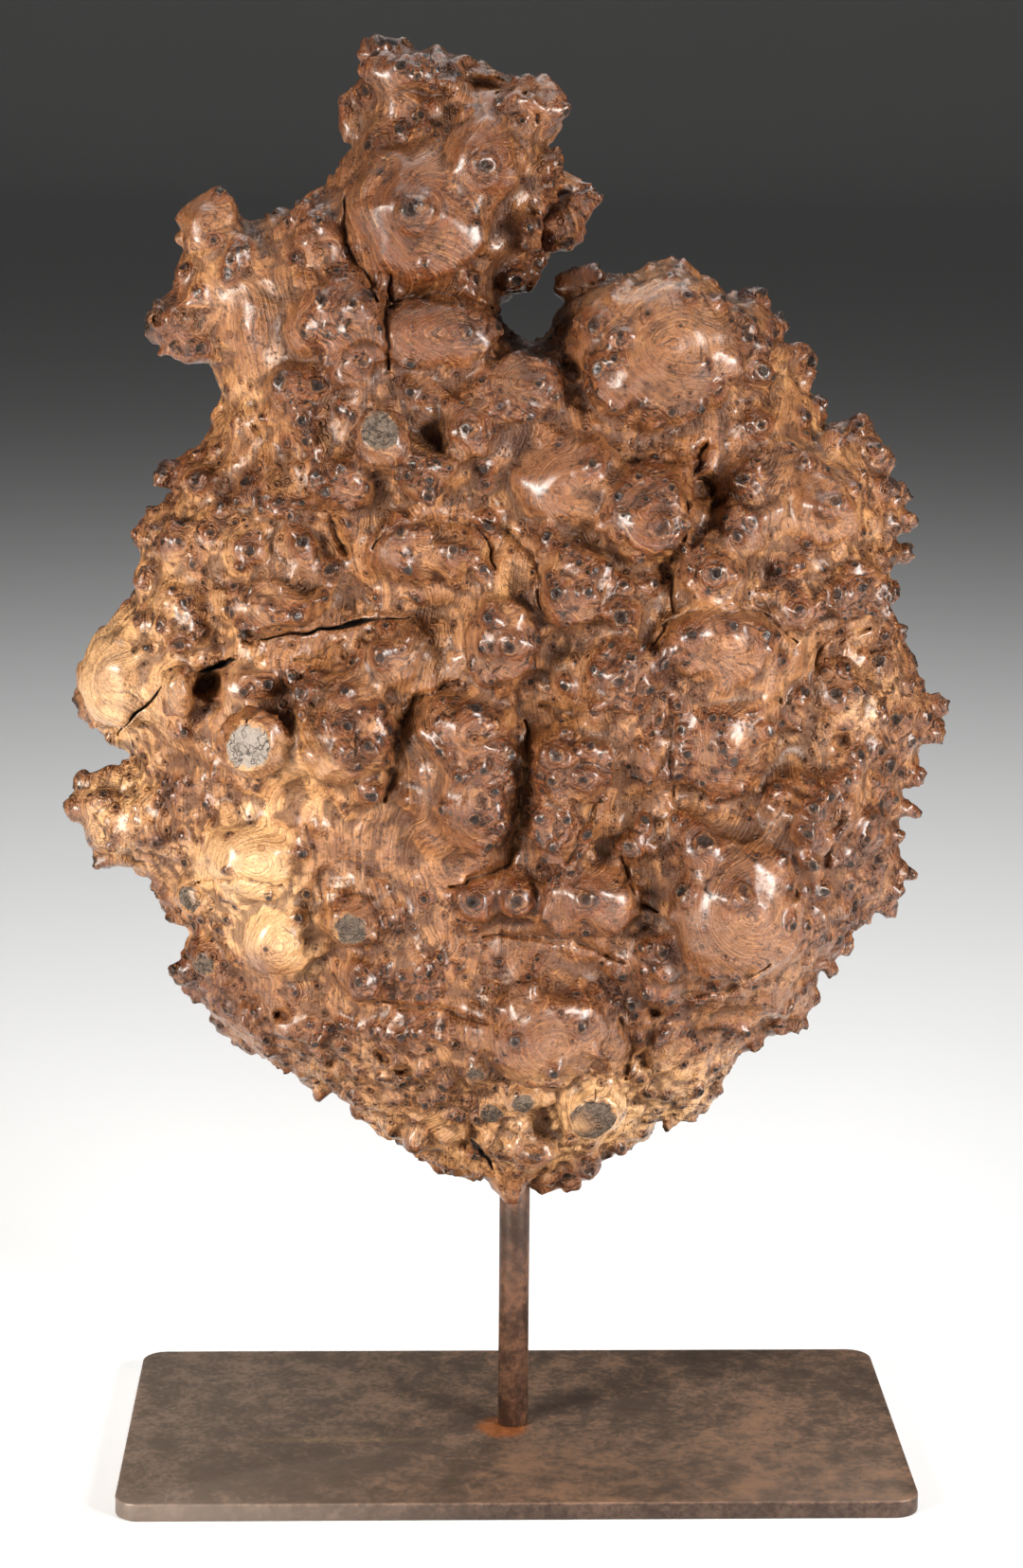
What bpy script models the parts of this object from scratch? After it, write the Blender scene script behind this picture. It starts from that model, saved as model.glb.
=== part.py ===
"""An oak burl on a steel stand: a flat plate, a round post, its screw, and the burl set on the post.

Metres, +Z up. The origin is on the table, in the middle of the whole object's footprint box. -Y is the front.
"""

import math

import bmesh
import bpy
import numpy as np
from mathutils import Vector
from mathutils.geometry import delaunay_2d_cdt

MM = 0.001
GAP = 0.3 * MM

# Stand: a 16 x 8 x 3/8 inch plate with half-inch corners, and a 5/8 inch round post at its middle.
PLATE_WIDTH = 406.4 * MM
PLATE_DEPTH = 203.2 * MM
PLATE_THICK = 9.525 * MM
PLATE_CORNER = 12.7 * MM
PLATE_EDGE = 0.8 * MM
POST_RADIUS = 7.9375 * MM
POST_X = 6.5 * MM
POST_TOP = 215.0 * MM

# M8 countersunk socket screw, up through the plate into the post's tapped end.
SCREW_RADIUS = 4.0 * MM
SCREW_HEAD_RADIUS = 8.0 * MM
SCREW_HEAD_HEIGHT = 4.4 * MM
SCREW_REACH = 26.0 * MM
SCREW_RECESS = 0.6 * MM
SOCKET_ACROSS_FLATS = 5.0 * MM
SOCKET_DEPTH = 2.6 * MM

# The burl is laid out on the upright plane y = 0 as seen by an eye in front of it: a point of the front
# lies on the line of sight through its place (x, z) on that plane. LAYOUT_X is the layout's zero.
LAYOUT_X = -3.5 * MM
EYE = Vector((-44.6, -1658.3, 716.9)) * MM
FRONT_RISE = 84.0 * MM
BACK_RISE = 60.0 * MM
BACK_HOLLOW = 16.0 * MM
BACK_HOLLOW_RADIUS = 150.0 * MM
RIM_STEP = 6.0 * MM
RIM_RING = 2.2 * MM
RIM_WANDER = 7.0 * MM
TOE = (9.0, 128.0)
TOE_FORWARD = 24.0 * MM
TOE_SPREAD = 15.0
FRONT_GRID = 10.2 * MM
BACK_GRID = 17.0 * MM
GRID_CLEARANCE = 0.62
RING_CLEARANCE = 0.95
LOBE_FADE = 20.0 * MM
LOBE_SPREAD = 1.12
CREASE_SHARPNESS = 5.0

# Outline, anticlockwise as the front shows it, in millimetres on the layout plane: (x, z).
OUTLINE_HEAD_LEFT = [
    (-62, 729), (-69, 725), (-67, 717), (-76, 702), (-74, 695), (-71, 686), (-73, 676), (-80, 665),
    (-90, 654), (-101, 647), (-109, 641), (-119, 639), (-129, 643), (-134, 651), (-146, 655), (-154, 650),
    (-160, 640), (-161, 631), (-159, 624), (-165, 611), (-169, 601), (-177, 595), (-176, 587), (-170, 581),
    (-157, 577), (-148, 572), (-145, 563), (-139, 553), (-144, 543), (-150, 532), (-160, 527), (-174, 521),
    (-168, 515), (-165, 507), (-173, 500), (-183, 492), (-183, 480), (-183, 467), (-187, 459), (-187, 450),
]
OUTLINE_LEFT = [
    (-194, 443), (-203, 432), (-211, 419), (-215, 407), (-217, 394), (-210, 388), (-202, 384), (-192, 379),
    (-187, 371), (-191, 366), (-187, 359), (-196, 356), (-206, 357), (-216, 358), (-218, 349), (-222, 343),
    (-218, 334), (-211, 328), (-206, 316), (-195, 314), (-184, 307), (-174, 302), (-176, 295), (-170, 285),
    (-158, 281), (-163, 267), (-162, 259), (-167, 252), (-159, 242), (-148, 231), (-138, 220), (-126, 211),
    (-112, 203), (-100, 195), (-86, 190), (-79, 183), (-70, 173), (-57, 164), (-47, 157), (-35, 150),
    (-25, 145), (-13, 142), (-3, 142),
]
OUTLINE_FOOT = [
    (1, 136), (6, 129), (12, 128), (17, 137), (21, 140), (28, 135), (35, 134), (41, 136), (38, 142),
    (50, 145), (54, 151), (60, 158), (69, 159), (78, 167), (85, 175), (93, 173), (103, 174), (111, 181),
    (118, 193), (122, 204), (127, 212), (136, 215), (134, 222), (145, 221), (159, 224), (162, 231),
    (167, 241), (165, 249), (170, 256), (186, 267), (180, 275), (192, 278), (195, 286), (203, 290),
    (209, 299), (205, 307), (214, 310), (207, 320), (209, 328), (205, 336), (218, 341), (210, 349),
    (207, 358), (218, 361), (214, 374), (226, 380), (225, 388), (229, 397), (219, 403), (213, 411),
]
OUTLINE_RIGHT = [
    (213, 421), (209, 428), (206, 437), (201, 447), (200, 456), (201, 470), (208, 477), (199, 485),
    (210, 494), (205, 500), (208, 509), (198, 515), (193, 527), (187, 541), (180, 545), (171, 539),
    (162, 539), (161, 552), (149, 564), (156, 571), (150, 579), (139, 585), (143, 595), (132, 599),
    (126, 609), (119, 605), (110, 606), (101, 615), (91, 622), (80, 622), (68, 620), (57, 615), (47, 617),
    (41, 607), (32, 602), (25, 590), (15, 582), (6, 583), (1, 590), (2, 597), (9, 605), (14, 615),
    (24, 624), (22, 636), (29, 644), (40, 652), (48, 656), (42, 661), (33, 664), (24, 673), (29, 682),
    (32, 690), (28, 701), (25, 709), (11, 710), (-2, 715), (-14, 720), (-26, 724), (-34, 727), (-40, 723),
    (-50, 728),
]
OUTLINE = OUTLINE_HEAD_LEFT + OUTLINE_LEFT + OUTLINE_FOOT + OUTLINE_RIGHT

# The main swellings of the front, in millimetres on the layout plane: (x, z, half width, half height, rise).
LOBES_HEAD = [
    (-42, 648, 40, 42, 16), (-9, 668, 27, 27, 17), (-52, 706, 26, 18, 14), (12, 696, 22, 17, 14),
    (20, 660, 20, 16, 12), (10, 634, 18, 16, 12), (-26, 588, 34, 19, 16), (-78, 590, 27, 30, 18),
    (-90, 632, 24, 22, 8), (-147, 638, 20, 20, 14), (-150, 612, 18, 20, 10), (-164, 589, 16, 14, 14),
    (-125, 585, 30, 40, 10),
]
LOBES_SHOULDERS = [
    (82, 588, 48, 40, 26), (48, 580, 20, 20, 14), (124, 586, 24, 22, 12), (10, 558, 32, 26, 16),
    (-32, 558, 24, 16, 8), (-75, 552, 28, 20, 8), (-105, 552, 18, 20, 10), (-60, 532, 18, 20, 16),
    (-80, 508, 22, 20, 14), (-38, 514, 20, 20, 14), (-15, 538, 18, 20, 12), (45, 524, 36, 28, 16),
    (72, 496, 34, 32, 22), (160, 500, 38, 36, 16), (118, 492, 22, 24, 12),
]
LOBES_MIDDLE = [
    (36, 460, 32, 28, 18), (68, 446, 22, 22, 12), (108, 462, 26, 24, 16), (152, 450, 24, 22, 10),
    (184, 458, 24, 24, 18), (0, 436, 26, 34, 18), (-42, 474, 38, 26, 14), (-55, 424, 30, 24, 14),
    (-116, 446, 30, 22, 18), (-110, 418, 34, 16, 12), (-165, 446, 30, 24, 10), (-150, 480, 34, 22, 8),
    (-203, 408, 24, 28, 14), (-165, 402, 16, 26, 20), (-75, 380, 36, 38, 24), (-122, 376, 30, 28, 18),
    (-18, 362, 34, 52, 24), (34, 350, 28, 40, 22), (60, 412, 32, 32, 18), (116, 414, 44, 36, 20),
    (74, 366, 26, 24, 14), (118, 372, 26, 24, 14), (184, 396, 32, 30, 14), (160, 338, 34, 28, 26),
]
LOBES_FOOT = [
    (-195, 330, 26, 22, 12), (-130, 314, 32, 28, 18), (-114, 276, 24, 24, 20), (-72, 284, 26, 20, 12),
    (-66, 252, 20, 18, 12), (-10, 300, 30, 20, 8), (46, 290, 32, 26, 16), (98, 322, 30, 24, 16),
    (130, 276, 50, 46, 28), (84, 256, 28, 30, 12), (28, 216, 42, 38, 26), (46, 182, 20, 20, 16),
    (8, 180, 22, 20, 12), (14, 156, 22, 22, 14), (-40, 216, 34, 28, 10), (-110, 226, 40, 20, 10),
    (100, 205, 34, 24, 8),
]
LOBES = LOBES_HEAD + LOBES_SHOULDERS + LOBES_MIDDLE + LOBES_FOOT


def clear_scene():
    """Remove whatever the scene holds."""
    for obj in list(bpy.data.objects):
        bpy.data.objects.remove(obj, do_unlink=True)


def finish(name, colour, roughness, metallic):
    """A Principled material of one colour."""
    material = bpy.data.materials.new(name)
    material.use_nodes = True
    shader = material.node_tree.nodes["Principled BSDF"]
    shader.inputs["Base Color"].default_value = (*colour, 1.0)
    shader.inputs["Roughness"].default_value = roughness
    shader.inputs["Metallic"].default_value = metallic
    return material


def placed(name, mesh, material, smooth_angle=None):
    """An object of this mesh, in the scene, with its material."""
    obj = bpy.data.objects.new(name, mesh)
    bpy.context.scene.collection.objects.link(obj)
    mesh.materials.append(material)
    if smooth_angle is not None:
        mesh.shade_smooth()
        mesh.set_sharp_from_angle(angle=smooth_angle)
    return obj


def turned(name, profile, steps=48):
    """A closed mesh turned about Z from a profile of (radius, z), which starts and ends on the axis."""
    shape = bmesh.new()
    points = [shape.verts.new((radius, 0.0, z)) for radius, z in profile]
    edges = [shape.edges.new(pair) for pair in zip(points, points[1:])]
    bmesh.ops.spin(
        shape, geom=points + edges, cent=(0, 0, 0), axis=(0, 0, 1), angle=math.tau, steps=steps,
        use_merge=True, use_duplicate=False,
    )
    bmesh.ops.remove_doubles(shape, verts=shape.verts, dist=0.01 * MM)
    bmesh.ops.recalc_face_normals(shape, faces=shape.faces)
    mesh = bpy.data.meshes.new(name)
    shape.to_mesh(mesh)
    shape.free()
    return mesh


def hex_prism(name, across_flats, low, high):
    """A six-sided prism on the Z axis."""
    radius = across_flats / math.sqrt(3)
    shape = bmesh.new()
    bmesh.ops.create_cone(
        shape, cap_ends=True, segments=6, radius1=radius, radius2=radius, depth=high - low
    )
    bmesh.ops.translate(shape, verts=shape.verts, vec=(0, 0, (low + high) / 2))
    mesh = bpy.data.meshes.new(name)
    shape.to_mesh(mesh)
    shape.free()
    return mesh


def cut_by(target, mesh, place):
    """Cut a hidden cutter of this mesh, placed at this point, out of the target."""
    cutter = bpy.data.objects.new(f"{target.name}_cutter", mesh)
    bpy.context.scene.collection.objects.link(cutter)
    cutter.location = place
    cutter.hide_render = True
    cutter.display_type = "WIRE"
    cut = target.modifiers.new("cut", "BOOLEAN")
    cut.operation = "DIFFERENCE"
    cut.object = cutter


def make_plate(steel):
    """The plate: rounded corners, a broken edge, and a countersunk hole under the post."""
    shape = bmesh.new()
    bmesh.ops.create_cube(shape, size=1.0)
    bmesh.ops.scale(shape, verts=shape.verts, vec=(PLATE_WIDTH, PLATE_DEPTH, PLATE_THICK))
    bmesh.ops.translate(shape, verts=shape.verts, vec=(0, 0, PLATE_THICK / 2))
    uprights = [e for e in shape.edges if abs(e.verts[0].co.z - e.verts[1].co.z) > PLATE_THICK / 2]
    bmesh.ops.bevel(
        shape, geom=uprights, offset=PLATE_CORNER, segments=8, profile=0.5, affect="EDGES"
    )
    rims = [e for e in shape.edges if len({round(f.normal.z) for f in e.link_faces}) == 2]
    bmesh.ops.bevel(shape, geom=rims, offset=PLATE_EDGE, segments=2, profile=0.5, affect="EDGES")
    mesh = bpy.data.meshes.new("base_plate")
    shape.to_mesh(mesh)
    shape.free()
    plate = placed("base_plate", mesh, steel, math.radians(35))
    plate.location = (POST_X, 0, 0)
    past = 5 * MM
    hole = SCREW_RADIUS + GAP
    head = SCREW_HEAD_RADIUS + GAP
    seat_top = SCREW_RECESS + SCREW_HEAD_HEIGHT + GAP
    profile = [
        (0, -past), (head, -past), (head, SCREW_RECESS), (hole, seat_top), (hole, PLATE_THICK + past),
        (0, PLATE_THICK + past),
    ]
    cut_by(plate, turned("base_plate_cutter", profile, 32), (POST_X, 0, 0))


def make_post(steel):
    """The post: a round bar that stands on the plate, tapped below, chamfered where it enters the burl."""
    chamfer = 1.2 * MM
    low = PLATE_THICK + GAP
    thread = SCREW_RADIUS + GAP
    thread_top = SCREW_RECESS + SCREW_REACH + 2 * MM
    profile = [
        (0, thread_top + 2 * MM), (thread, thread_top), (thread, low), (POST_RADIUS - 0.4 * MM, low),
        (POST_RADIUS, low + 0.4 * MM), (POST_RADIUS, POST_TOP - chamfer), (POST_RADIUS - chamfer, POST_TOP),
        (0, POST_TOP),
    ]
    post = placed("post", turned("post", profile, 40), steel, math.radians(35))
    post.location = (POST_X, 0, 0)


def make_screw(steel):
    """The countersunk socket screw that holds the post to the plate."""
    low = SCREW_RECESS
    neck = low + SCREW_HEAD_HEIGHT
    tip = low + SCREW_REACH
    profile = [
        (0, low), (SCREW_HEAD_RADIUS - 0.2 * MM, low), (SCREW_HEAD_RADIUS - 0.1 * MM, low + 0.3 * MM),
        (SCREW_RADIUS, neck), (SCREW_RADIUS, tip - 1 * MM), (SCREW_RADIUS - 1 * MM, tip), (0, tip),
    ]
    screw = placed("post_screw", turned("post_screw", profile, 32), steel, math.radians(35))
    screw.location = (POST_X, 0, 0)
    socket = hex_prism("post_screw_cutter", SOCKET_ACROSS_FLATS, low - 2 * MM, low + SOCKET_DEPTH)
    cut_by(screw, socket, (POST_X, 0, 0))


def smooth_outline(points, step):
    """The outline as a closed Catmull-Rom curve, with points about one step apart."""
    ring = np.array(points, float) * MM
    count = len(ring)
    found = []
    for i in range(count):
        before, start, end, after = (ring[(i + k) % count] for k in (-1, 0, 1, 2))
        pieces = max(1, round(float(np.linalg.norm(end - start)) / step))
        for t in np.arange(pieces) / pieces:
            found.append(
                0.5 * (
                    2 * start + (end - before) * t + (2 * before - 5 * start + 4 * end - after) * t**2
                    + (3 * start - before - 3 * end + after) * t**3
                )
            )
    return np.array(found)


def rounded_rise(points, triangles, rim_count, rise):
    """How far a skin stands off when it is blown up inside the rim: round across a horn, level far inside.

    With r the level rise, u - r^2 / 2 * laplacian(u) = r^2 is solved over the triangles, with u = 0 on the rim.
    The skin then stands at the square root of u.
    """
    corners = points[triangles]
    area = 0.5 * np.abs(np.cross(corners[:, 1] - corners[:, 0], corners[:, 2] - corners[:, 0]))
    mass = np.bincount(triangles.ravel(), np.repeat(area / 3, 3), len(points))
    starts, ends, weights = [], [], []
    for k in range(3):
        one, other = (corners[:, (k + n) % 3] - corners[:, k] for n in (1, 2))
        starts.append(triangles[:, (k + 1) % 3])
        ends.append(triangles[:, (k + 2) % 3])
        weights.append(0.25 * rise**2 * (one * other).sum(axis=1) / (2 * area))
    start, end, weight = np.concatenate(starts), np.concatenate(ends), np.concatenate(weights)
    free = np.arange(len(points)) >= rim_count

    def product(u):
        flow = weight * (u[start] - u[end])
        return mass * u + np.bincount(start, flow, len(u)) - np.bincount(end, flow, len(u))

    u = np.zeros(len(points))
    left = np.where(free, mass * rise**2, 0.0)
    step = left.copy()
    size = left @ left
    target = 1e-14 * size
    while size > target:
        moved = np.where(free, product(step), 0.0)
        share = size / (step @ moved)
        u += share * step
        left -= share * moved
        size, last = left @ left, size
        step = left + size / last * step
    return np.sqrt(np.clip(u, 0, None))


def lobes_at(points):
    """How far the swellings stand out of the dome. Where two meet, a crease is left between them."""
    total = np.zeros(len(points))
    for x, z, half_width, half_height, rise in LOBES:
        across = (points[:, 0] / MM - x) / (LOBE_SPREAD * half_width)
        up = (points[:, 1] / MM - z) / (LOBE_SPREAD * half_height)
        bump = rise * MM * np.clip(1 - across**2 - up**2, 0, None) ** 0.9
        total += bump**CREASE_SHARPNESS
    return total ** (1 / CREASE_SHARPNESS)


def inner_points(rim, spacing):
    """Rows of points inside the rim, clear of it by a set share of their spacing."""
    low, high = rim.min(axis=0), rim.max(axis=0)
    rows = np.arange(low[1], high[1], spacing * math.sqrt(3) / 2)
    found = np.array(
        [
            (x, z)
            for row, z in enumerate(rows)
            for x in np.arange(low[0] + (row % 2) * spacing / 2, high[0], spacing)
        ]
    )
    nearest = np.linalg.norm(found[:, None] - rim[None], axis=2).min(axis=1)
    return found[nearest > spacing * GRID_CLEARANCE]


def ring_points(rim, inset):
    """Points just inside the rim, which round its edge over."""
    along = np.roll(rim, -1, axis=0) - np.roll(rim, 1, axis=0)
    inward = np.stack([-along[:, 1], along[:, 0]], axis=1)
    inward /= np.linalg.norm(inward, axis=1)[:, None]
    moved = rim + inward * inset
    nearest = np.linalg.norm(moved[:, None] - rim[None], axis=2).min(axis=1)
    return moved[nearest > inset * RING_CLEARANCE]


def sheet(rim, spacing):
    """Points and triangles that fill the rim, the rim's own points first."""
    inside = np.concatenate([ring_points(rim, RIM_RING), inner_points(rim, spacing)])
    flat = [Vector(p) for p in np.concatenate([rim, inside])]
    face = list(range(len(rim)))
    points, _, triangles, _, _, _ = delaunay_2d_cdt(flat, [], [face], 1, 0.01 * MM)
    return np.array(points), np.array([list(t) for t in triangles])


def on_sight_lines(flat, depth):
    """The points at this depth on the lines of sight through these places of the layout."""
    places = np.stack([flat[:, 0], np.zeros(len(flat)), flat[:, 1]], axis=1)
    from_eye = places - np.array(EYE)
    return places + from_eye * (depth / from_eye[:, 1])[:, None]


def rim_depth(flat):
    """Depth of the middle surface, which wanders a little so that the rim isn't flat.

    The lowest toe of the burl hangs in front of the post, so it is drawn forward.
    """
    x, z = flat[:, 0] / MM, flat[:, 1] / MM
    wave = np.sin(x / 31 + z / 47 + 0.6) + 0.7 * np.sin(z / 26 - x / 58 + 2.1)
    toe = np.exp(-((x - TOE[0]) ** 2 + (z - TOE[1]) ** 2) / TOE_SPREAD**2)
    return RIM_WANDER * wave / 1.7 * (1 - toe) - TOE_FORWARD * toe


def front_depths(flat, triangles, rim_count):
    """Depth of the front: a blown-up skin with its lobes."""
    rise = rounded_rise(flat, triangles, rim_count, FRONT_RISE)
    fade = np.clip(rise / LOBE_FADE - 0.4, 0, 1)
    return rim_depth(flat) - rise - lobes_at(flat) * fade


def back_depths(flat, triangles, rim_count):
    """Depth of the back: a lower skin with a shallow hollow where the burl sat on the trunk."""
    rise = rounded_rise(flat, triangles, rim_count, BACK_RISE)
    from_middle = np.linalg.norm(flat - flat[:rim_count].mean(axis=0), axis=1)
    hollow = BACK_HOLLOW * np.clip(1 - (from_middle / BACK_HOLLOW_RADIUS) ** 2, 0, 1)
    return rim_depth(flat) + rise - hollow


def burl_mesh():
    """One closed mesh: a front sheet and a back sheet that share the rim."""
    rim = smooth_outline(OUTLINE, RIM_STEP)
    count = len(rim)
    shape = bmesh.new()
    rim_verts = [shape.verts.new(p) for p in on_sight_lines(rim, rim_depth(rim))]
    for spacing, depths in ((FRONT_GRID, front_depths), (BACK_GRID, back_depths)):
        flat, triangles = sheet(rim, spacing)
        places = on_sight_lines(flat, depths(flat, triangles, count))
        verts = rim_verts + [shape.verts.new(p) for p in places[count:]]
        for triangle in triangles:
            shape.faces.new([verts[i] for i in triangle])
    bmesh.ops.translate(shape, verts=shape.verts, vec=(LAYOUT_X, 0, 0))
    bmesh.ops.recalc_face_normals(shape, faces=shape.faces)
    mesh = bpy.data.meshes.new("burl")
    shape.to_mesh(mesh)
    shape.free()
    return mesh


def make_burl(wood):
    """The burl, bored from below for the post."""
    burl = placed("burl", burl_mesh(), wood, math.radians(60))
    below = 100 * MM
    bore_radius = POST_RADIUS + GAP
    bore_top = POST_TOP + GAP
    profile = [(0, below), (bore_radius, below), (bore_radius, bore_top), (0, bore_top + 3 * MM)]
    cut_by(burl, turned("burl_cutter", profile, 32), (POST_X, 0, 0))


def main():
    clear_scene()
    wood = finish("oiled_burl_wood", (0.27, 0.12, 0.05), 0.42, 0.0)
    steel = finish("rusted_steel", (0.11, 0.075, 0.055), 0.6, 0.7)
    zinc = finish("screw_steel", (0.35, 0.34, 0.33), 0.45, 0.9)
    make_plate(steel)
    make_post(steel)
    make_screw(zinc)
    make_burl(wood)


main()
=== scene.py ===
"""Looks of an oak burl on a steel stand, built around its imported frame.

Metres, +Z up, -Y the front. The burl is worked up from its solid in three steps, as clay would be:
swellings are pressed on and fused, then knobs, horns and sawn stubs, and then grooves, cracks and pits are
cut. The steel pieces keep their solids' shapes and get their finishes.
"""

import logging
import math
from collections.abc import Callable
from dataclasses import dataclass, field, replace
from enum import Enum

import bpy
import numpy as np
from mathutils import Matrix, Vector
from mathutils.bvhtree import BVHTree
from mathutils.kdtree import KDTree


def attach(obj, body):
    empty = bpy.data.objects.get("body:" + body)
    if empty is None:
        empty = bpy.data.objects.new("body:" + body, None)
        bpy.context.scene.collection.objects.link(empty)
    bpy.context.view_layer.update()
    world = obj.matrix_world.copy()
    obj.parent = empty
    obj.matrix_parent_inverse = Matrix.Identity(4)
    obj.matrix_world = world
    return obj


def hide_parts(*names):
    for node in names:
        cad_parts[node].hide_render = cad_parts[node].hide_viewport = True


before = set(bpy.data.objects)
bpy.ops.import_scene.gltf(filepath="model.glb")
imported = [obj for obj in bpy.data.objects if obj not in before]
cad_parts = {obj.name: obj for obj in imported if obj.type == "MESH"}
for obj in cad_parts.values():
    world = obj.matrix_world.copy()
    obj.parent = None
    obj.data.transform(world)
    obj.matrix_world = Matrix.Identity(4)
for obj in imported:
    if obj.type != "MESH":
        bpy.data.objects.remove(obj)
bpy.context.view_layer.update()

log = logging.getLogger("oak_burl")

MM = 0.001
PER_METRE = 1000.0  # millimetres
FAR = 1e9  # millimetres, farther off than anything is
BEYOND = 9.0  # radii or widths, past all that a knob or a crack changes
CRACK_WANDER = 1.5  # millimetres
GROOVE_WANDER = 2.4  # millimetres
POST_X = 6.5 * MM  # the post's axis, and the bore's
LAYOUT_X = -3.5 * MM  # where x = 0 of the tables below lies
EYE = Vector((-48.11, -1658.28, 716.9)) * MM  # the camera's place

Place = tuple[float, float]
Place3 = tuple[float, float, float]
Patch = tuple[float, float, float, float]
Colour = tuple[float, float, float]
Points = np.ndarray
Shape = tuple[Points, Points]

# ---------------------------------------------------------------------------
# The burl's features, in millimetres on the layout plane: the upright plane y = 0, seen from EYE.
# ---------------------------------------------------------------------------

# Swellings: (x, z, half width, half height, height above the skin).
LOBES: list[tuple[float, ...]] = [
    # head
    (-43, 646, 36, 37, 9), (-9, 670, 21, 20, 9), (-50, 710, 22, 12, 8), (14, 699, 17, 14, 8),
    (22, 661, 15, 14, 7), (12, 641, 13, 12, 7), (-35, 586, 34, 17, 9), (-72, 722, 10, 10, 5),
    (-62, 680, 14, 14, 5), (5, 615, 13, 13, 6),
    # arm at the upper left
    (-146, 640, 17, 17, 9), (-130, 620, 15, 14, 7), (-158, 590, 14, 13, 8), (-94, 637, 16, 14, 6),
    (-80, 594, 21, 17, 10), (-99, 588, 13, 13, 5), (-106, 556, 14, 14, 7), (-62, 533, 14, 15, 9),
    (-98, 540, 12, 12, 5), (-78, 566, 14, 13, 5), (-38, 553, 15, 13, 4),
    # across the shoulders
    (80, 582, 44, 38, 10), (47, 583, 17, 16, 8), (122, 588, 16, 16, 7), (126, 566, 14, 13, 5),
    (6, 561, 26, 20, 7), (-16, 540, 14, 14, 7), (-80, 510, 16, 15, 8), (-39, 515, 15, 15, 9),
    (-9, 514, 11, 13, 4), (32, 511, 28, 27, 9), (48, 524, 12, 12, 5), (73, 498, 23, 24, 11),
    (129, 541, 13, 12, 5), (168, 501, 20, 19, 8), (122, 515, 14, 13, 6), (119, 486, 15, 14, 7),
    (156, 519, 13, 12, 4), (146, 470, 13, 12, 4), (185, 530, 14, 16, 5),
    # left middle
    (-150, 512, 16, 10, 7), (-115, 505, 20, 16, 6), (-165, 480, 15, 14, 5), (-129, 478, 12, 12, 6),
    (-100, 477, 11, 15, 7), (-86, 465, 10, 11, 5), (-47, 476, 18, 15, 8), (-24, 475, 13, 11, 6),
    (-118, 449, 24, 14, 9), (-165, 442, 20, 18, 6), (-128, 409, 15, 13, 6), (-163, 405, 11, 15, 9),
    (-198, 409, 20, 24, 7), (-124, 380, 15, 13, 7), (-108, 371, 13, 12, 5), (-82, 388, 26, 30, 9),
    (-69, 374, 15, 13, 6), (-58, 420, 15, 12, 7), (-66, 352, 10, 11, 5), (-205, 346, 14, 11, 5),
    # middle
    (0, 431, 19, 21, 9), (28, 484, 11, 11, 5), (39, 460, 21, 19, 9), (62, 446, 14, 14, 7),
    (70, 460, 11, 10, 4), (105, 468, 18, 17, 8), (-17, 383, 24, 21, 8), (-12, 348, 20, 32, 9),
    (35, 366, 21, 20, 9), (30, 331, 16, 22, 9), (56, 373, 10, 14, 4), (64, 414, 22, 20, 9),
    (113, 431, 32, 20, 9), (150, 446, 14, 13, 6), (181, 457, 20, 17, 9), (196, 440, 12, 11, 4),
    (118, 376, 24, 28, 9), (92, 380, 11, 14, 5), (76, 370, 10, 10, 4), (150, 392, 13, 14, 5),
    (175, 405, 17, 16, 5), (179, 366, 15, 15, 6), (160, 330, 12, 26, 7), (190, 330, 16, 16, 5),
    # foot
    (-207, 331, 14, 13, 5), (-130, 315, 24, 20, 8), (-134, 297, 15, 12, 5), (-114, 272, 18, 21, 9),
    (-74, 284, 14, 13, 7), (-152, 268, 12, 11, 5), (-158, 298, 13, 12, 5), (-71, 252, 13, 13, 7),
    (-38, 262, 22, 11, 4), (-12, 296, 13, 12, 6), (9, 298, 13, 12, 6), (46, 296, 26, 20, 7),
    (104, 326, 15, 14, 6), (70, 331, 12, 13, 6), (126, 288, 34, 38, 10), (82, 266, 16, 15, 7),
    (10, 240, 14, 12, 5), (30, 218, 30, 25, 8), (90, 226, 18, 13, 4), (120, 230, 22, 12, 4),
    (50, 182, 17, 17, 8), (14, 188, 13, 12, 5), (20, 161, 13, 13, 6), (48, 153, 12, 10, 6),
    (92, 191, 22, 10, 4), (-74, 188, 15, 12, 4), (-40, 224, 20, 12, 4), (-100, 226, 18, 12, 4),
    (-10, 205, 13, 13, 4),
]

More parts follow.
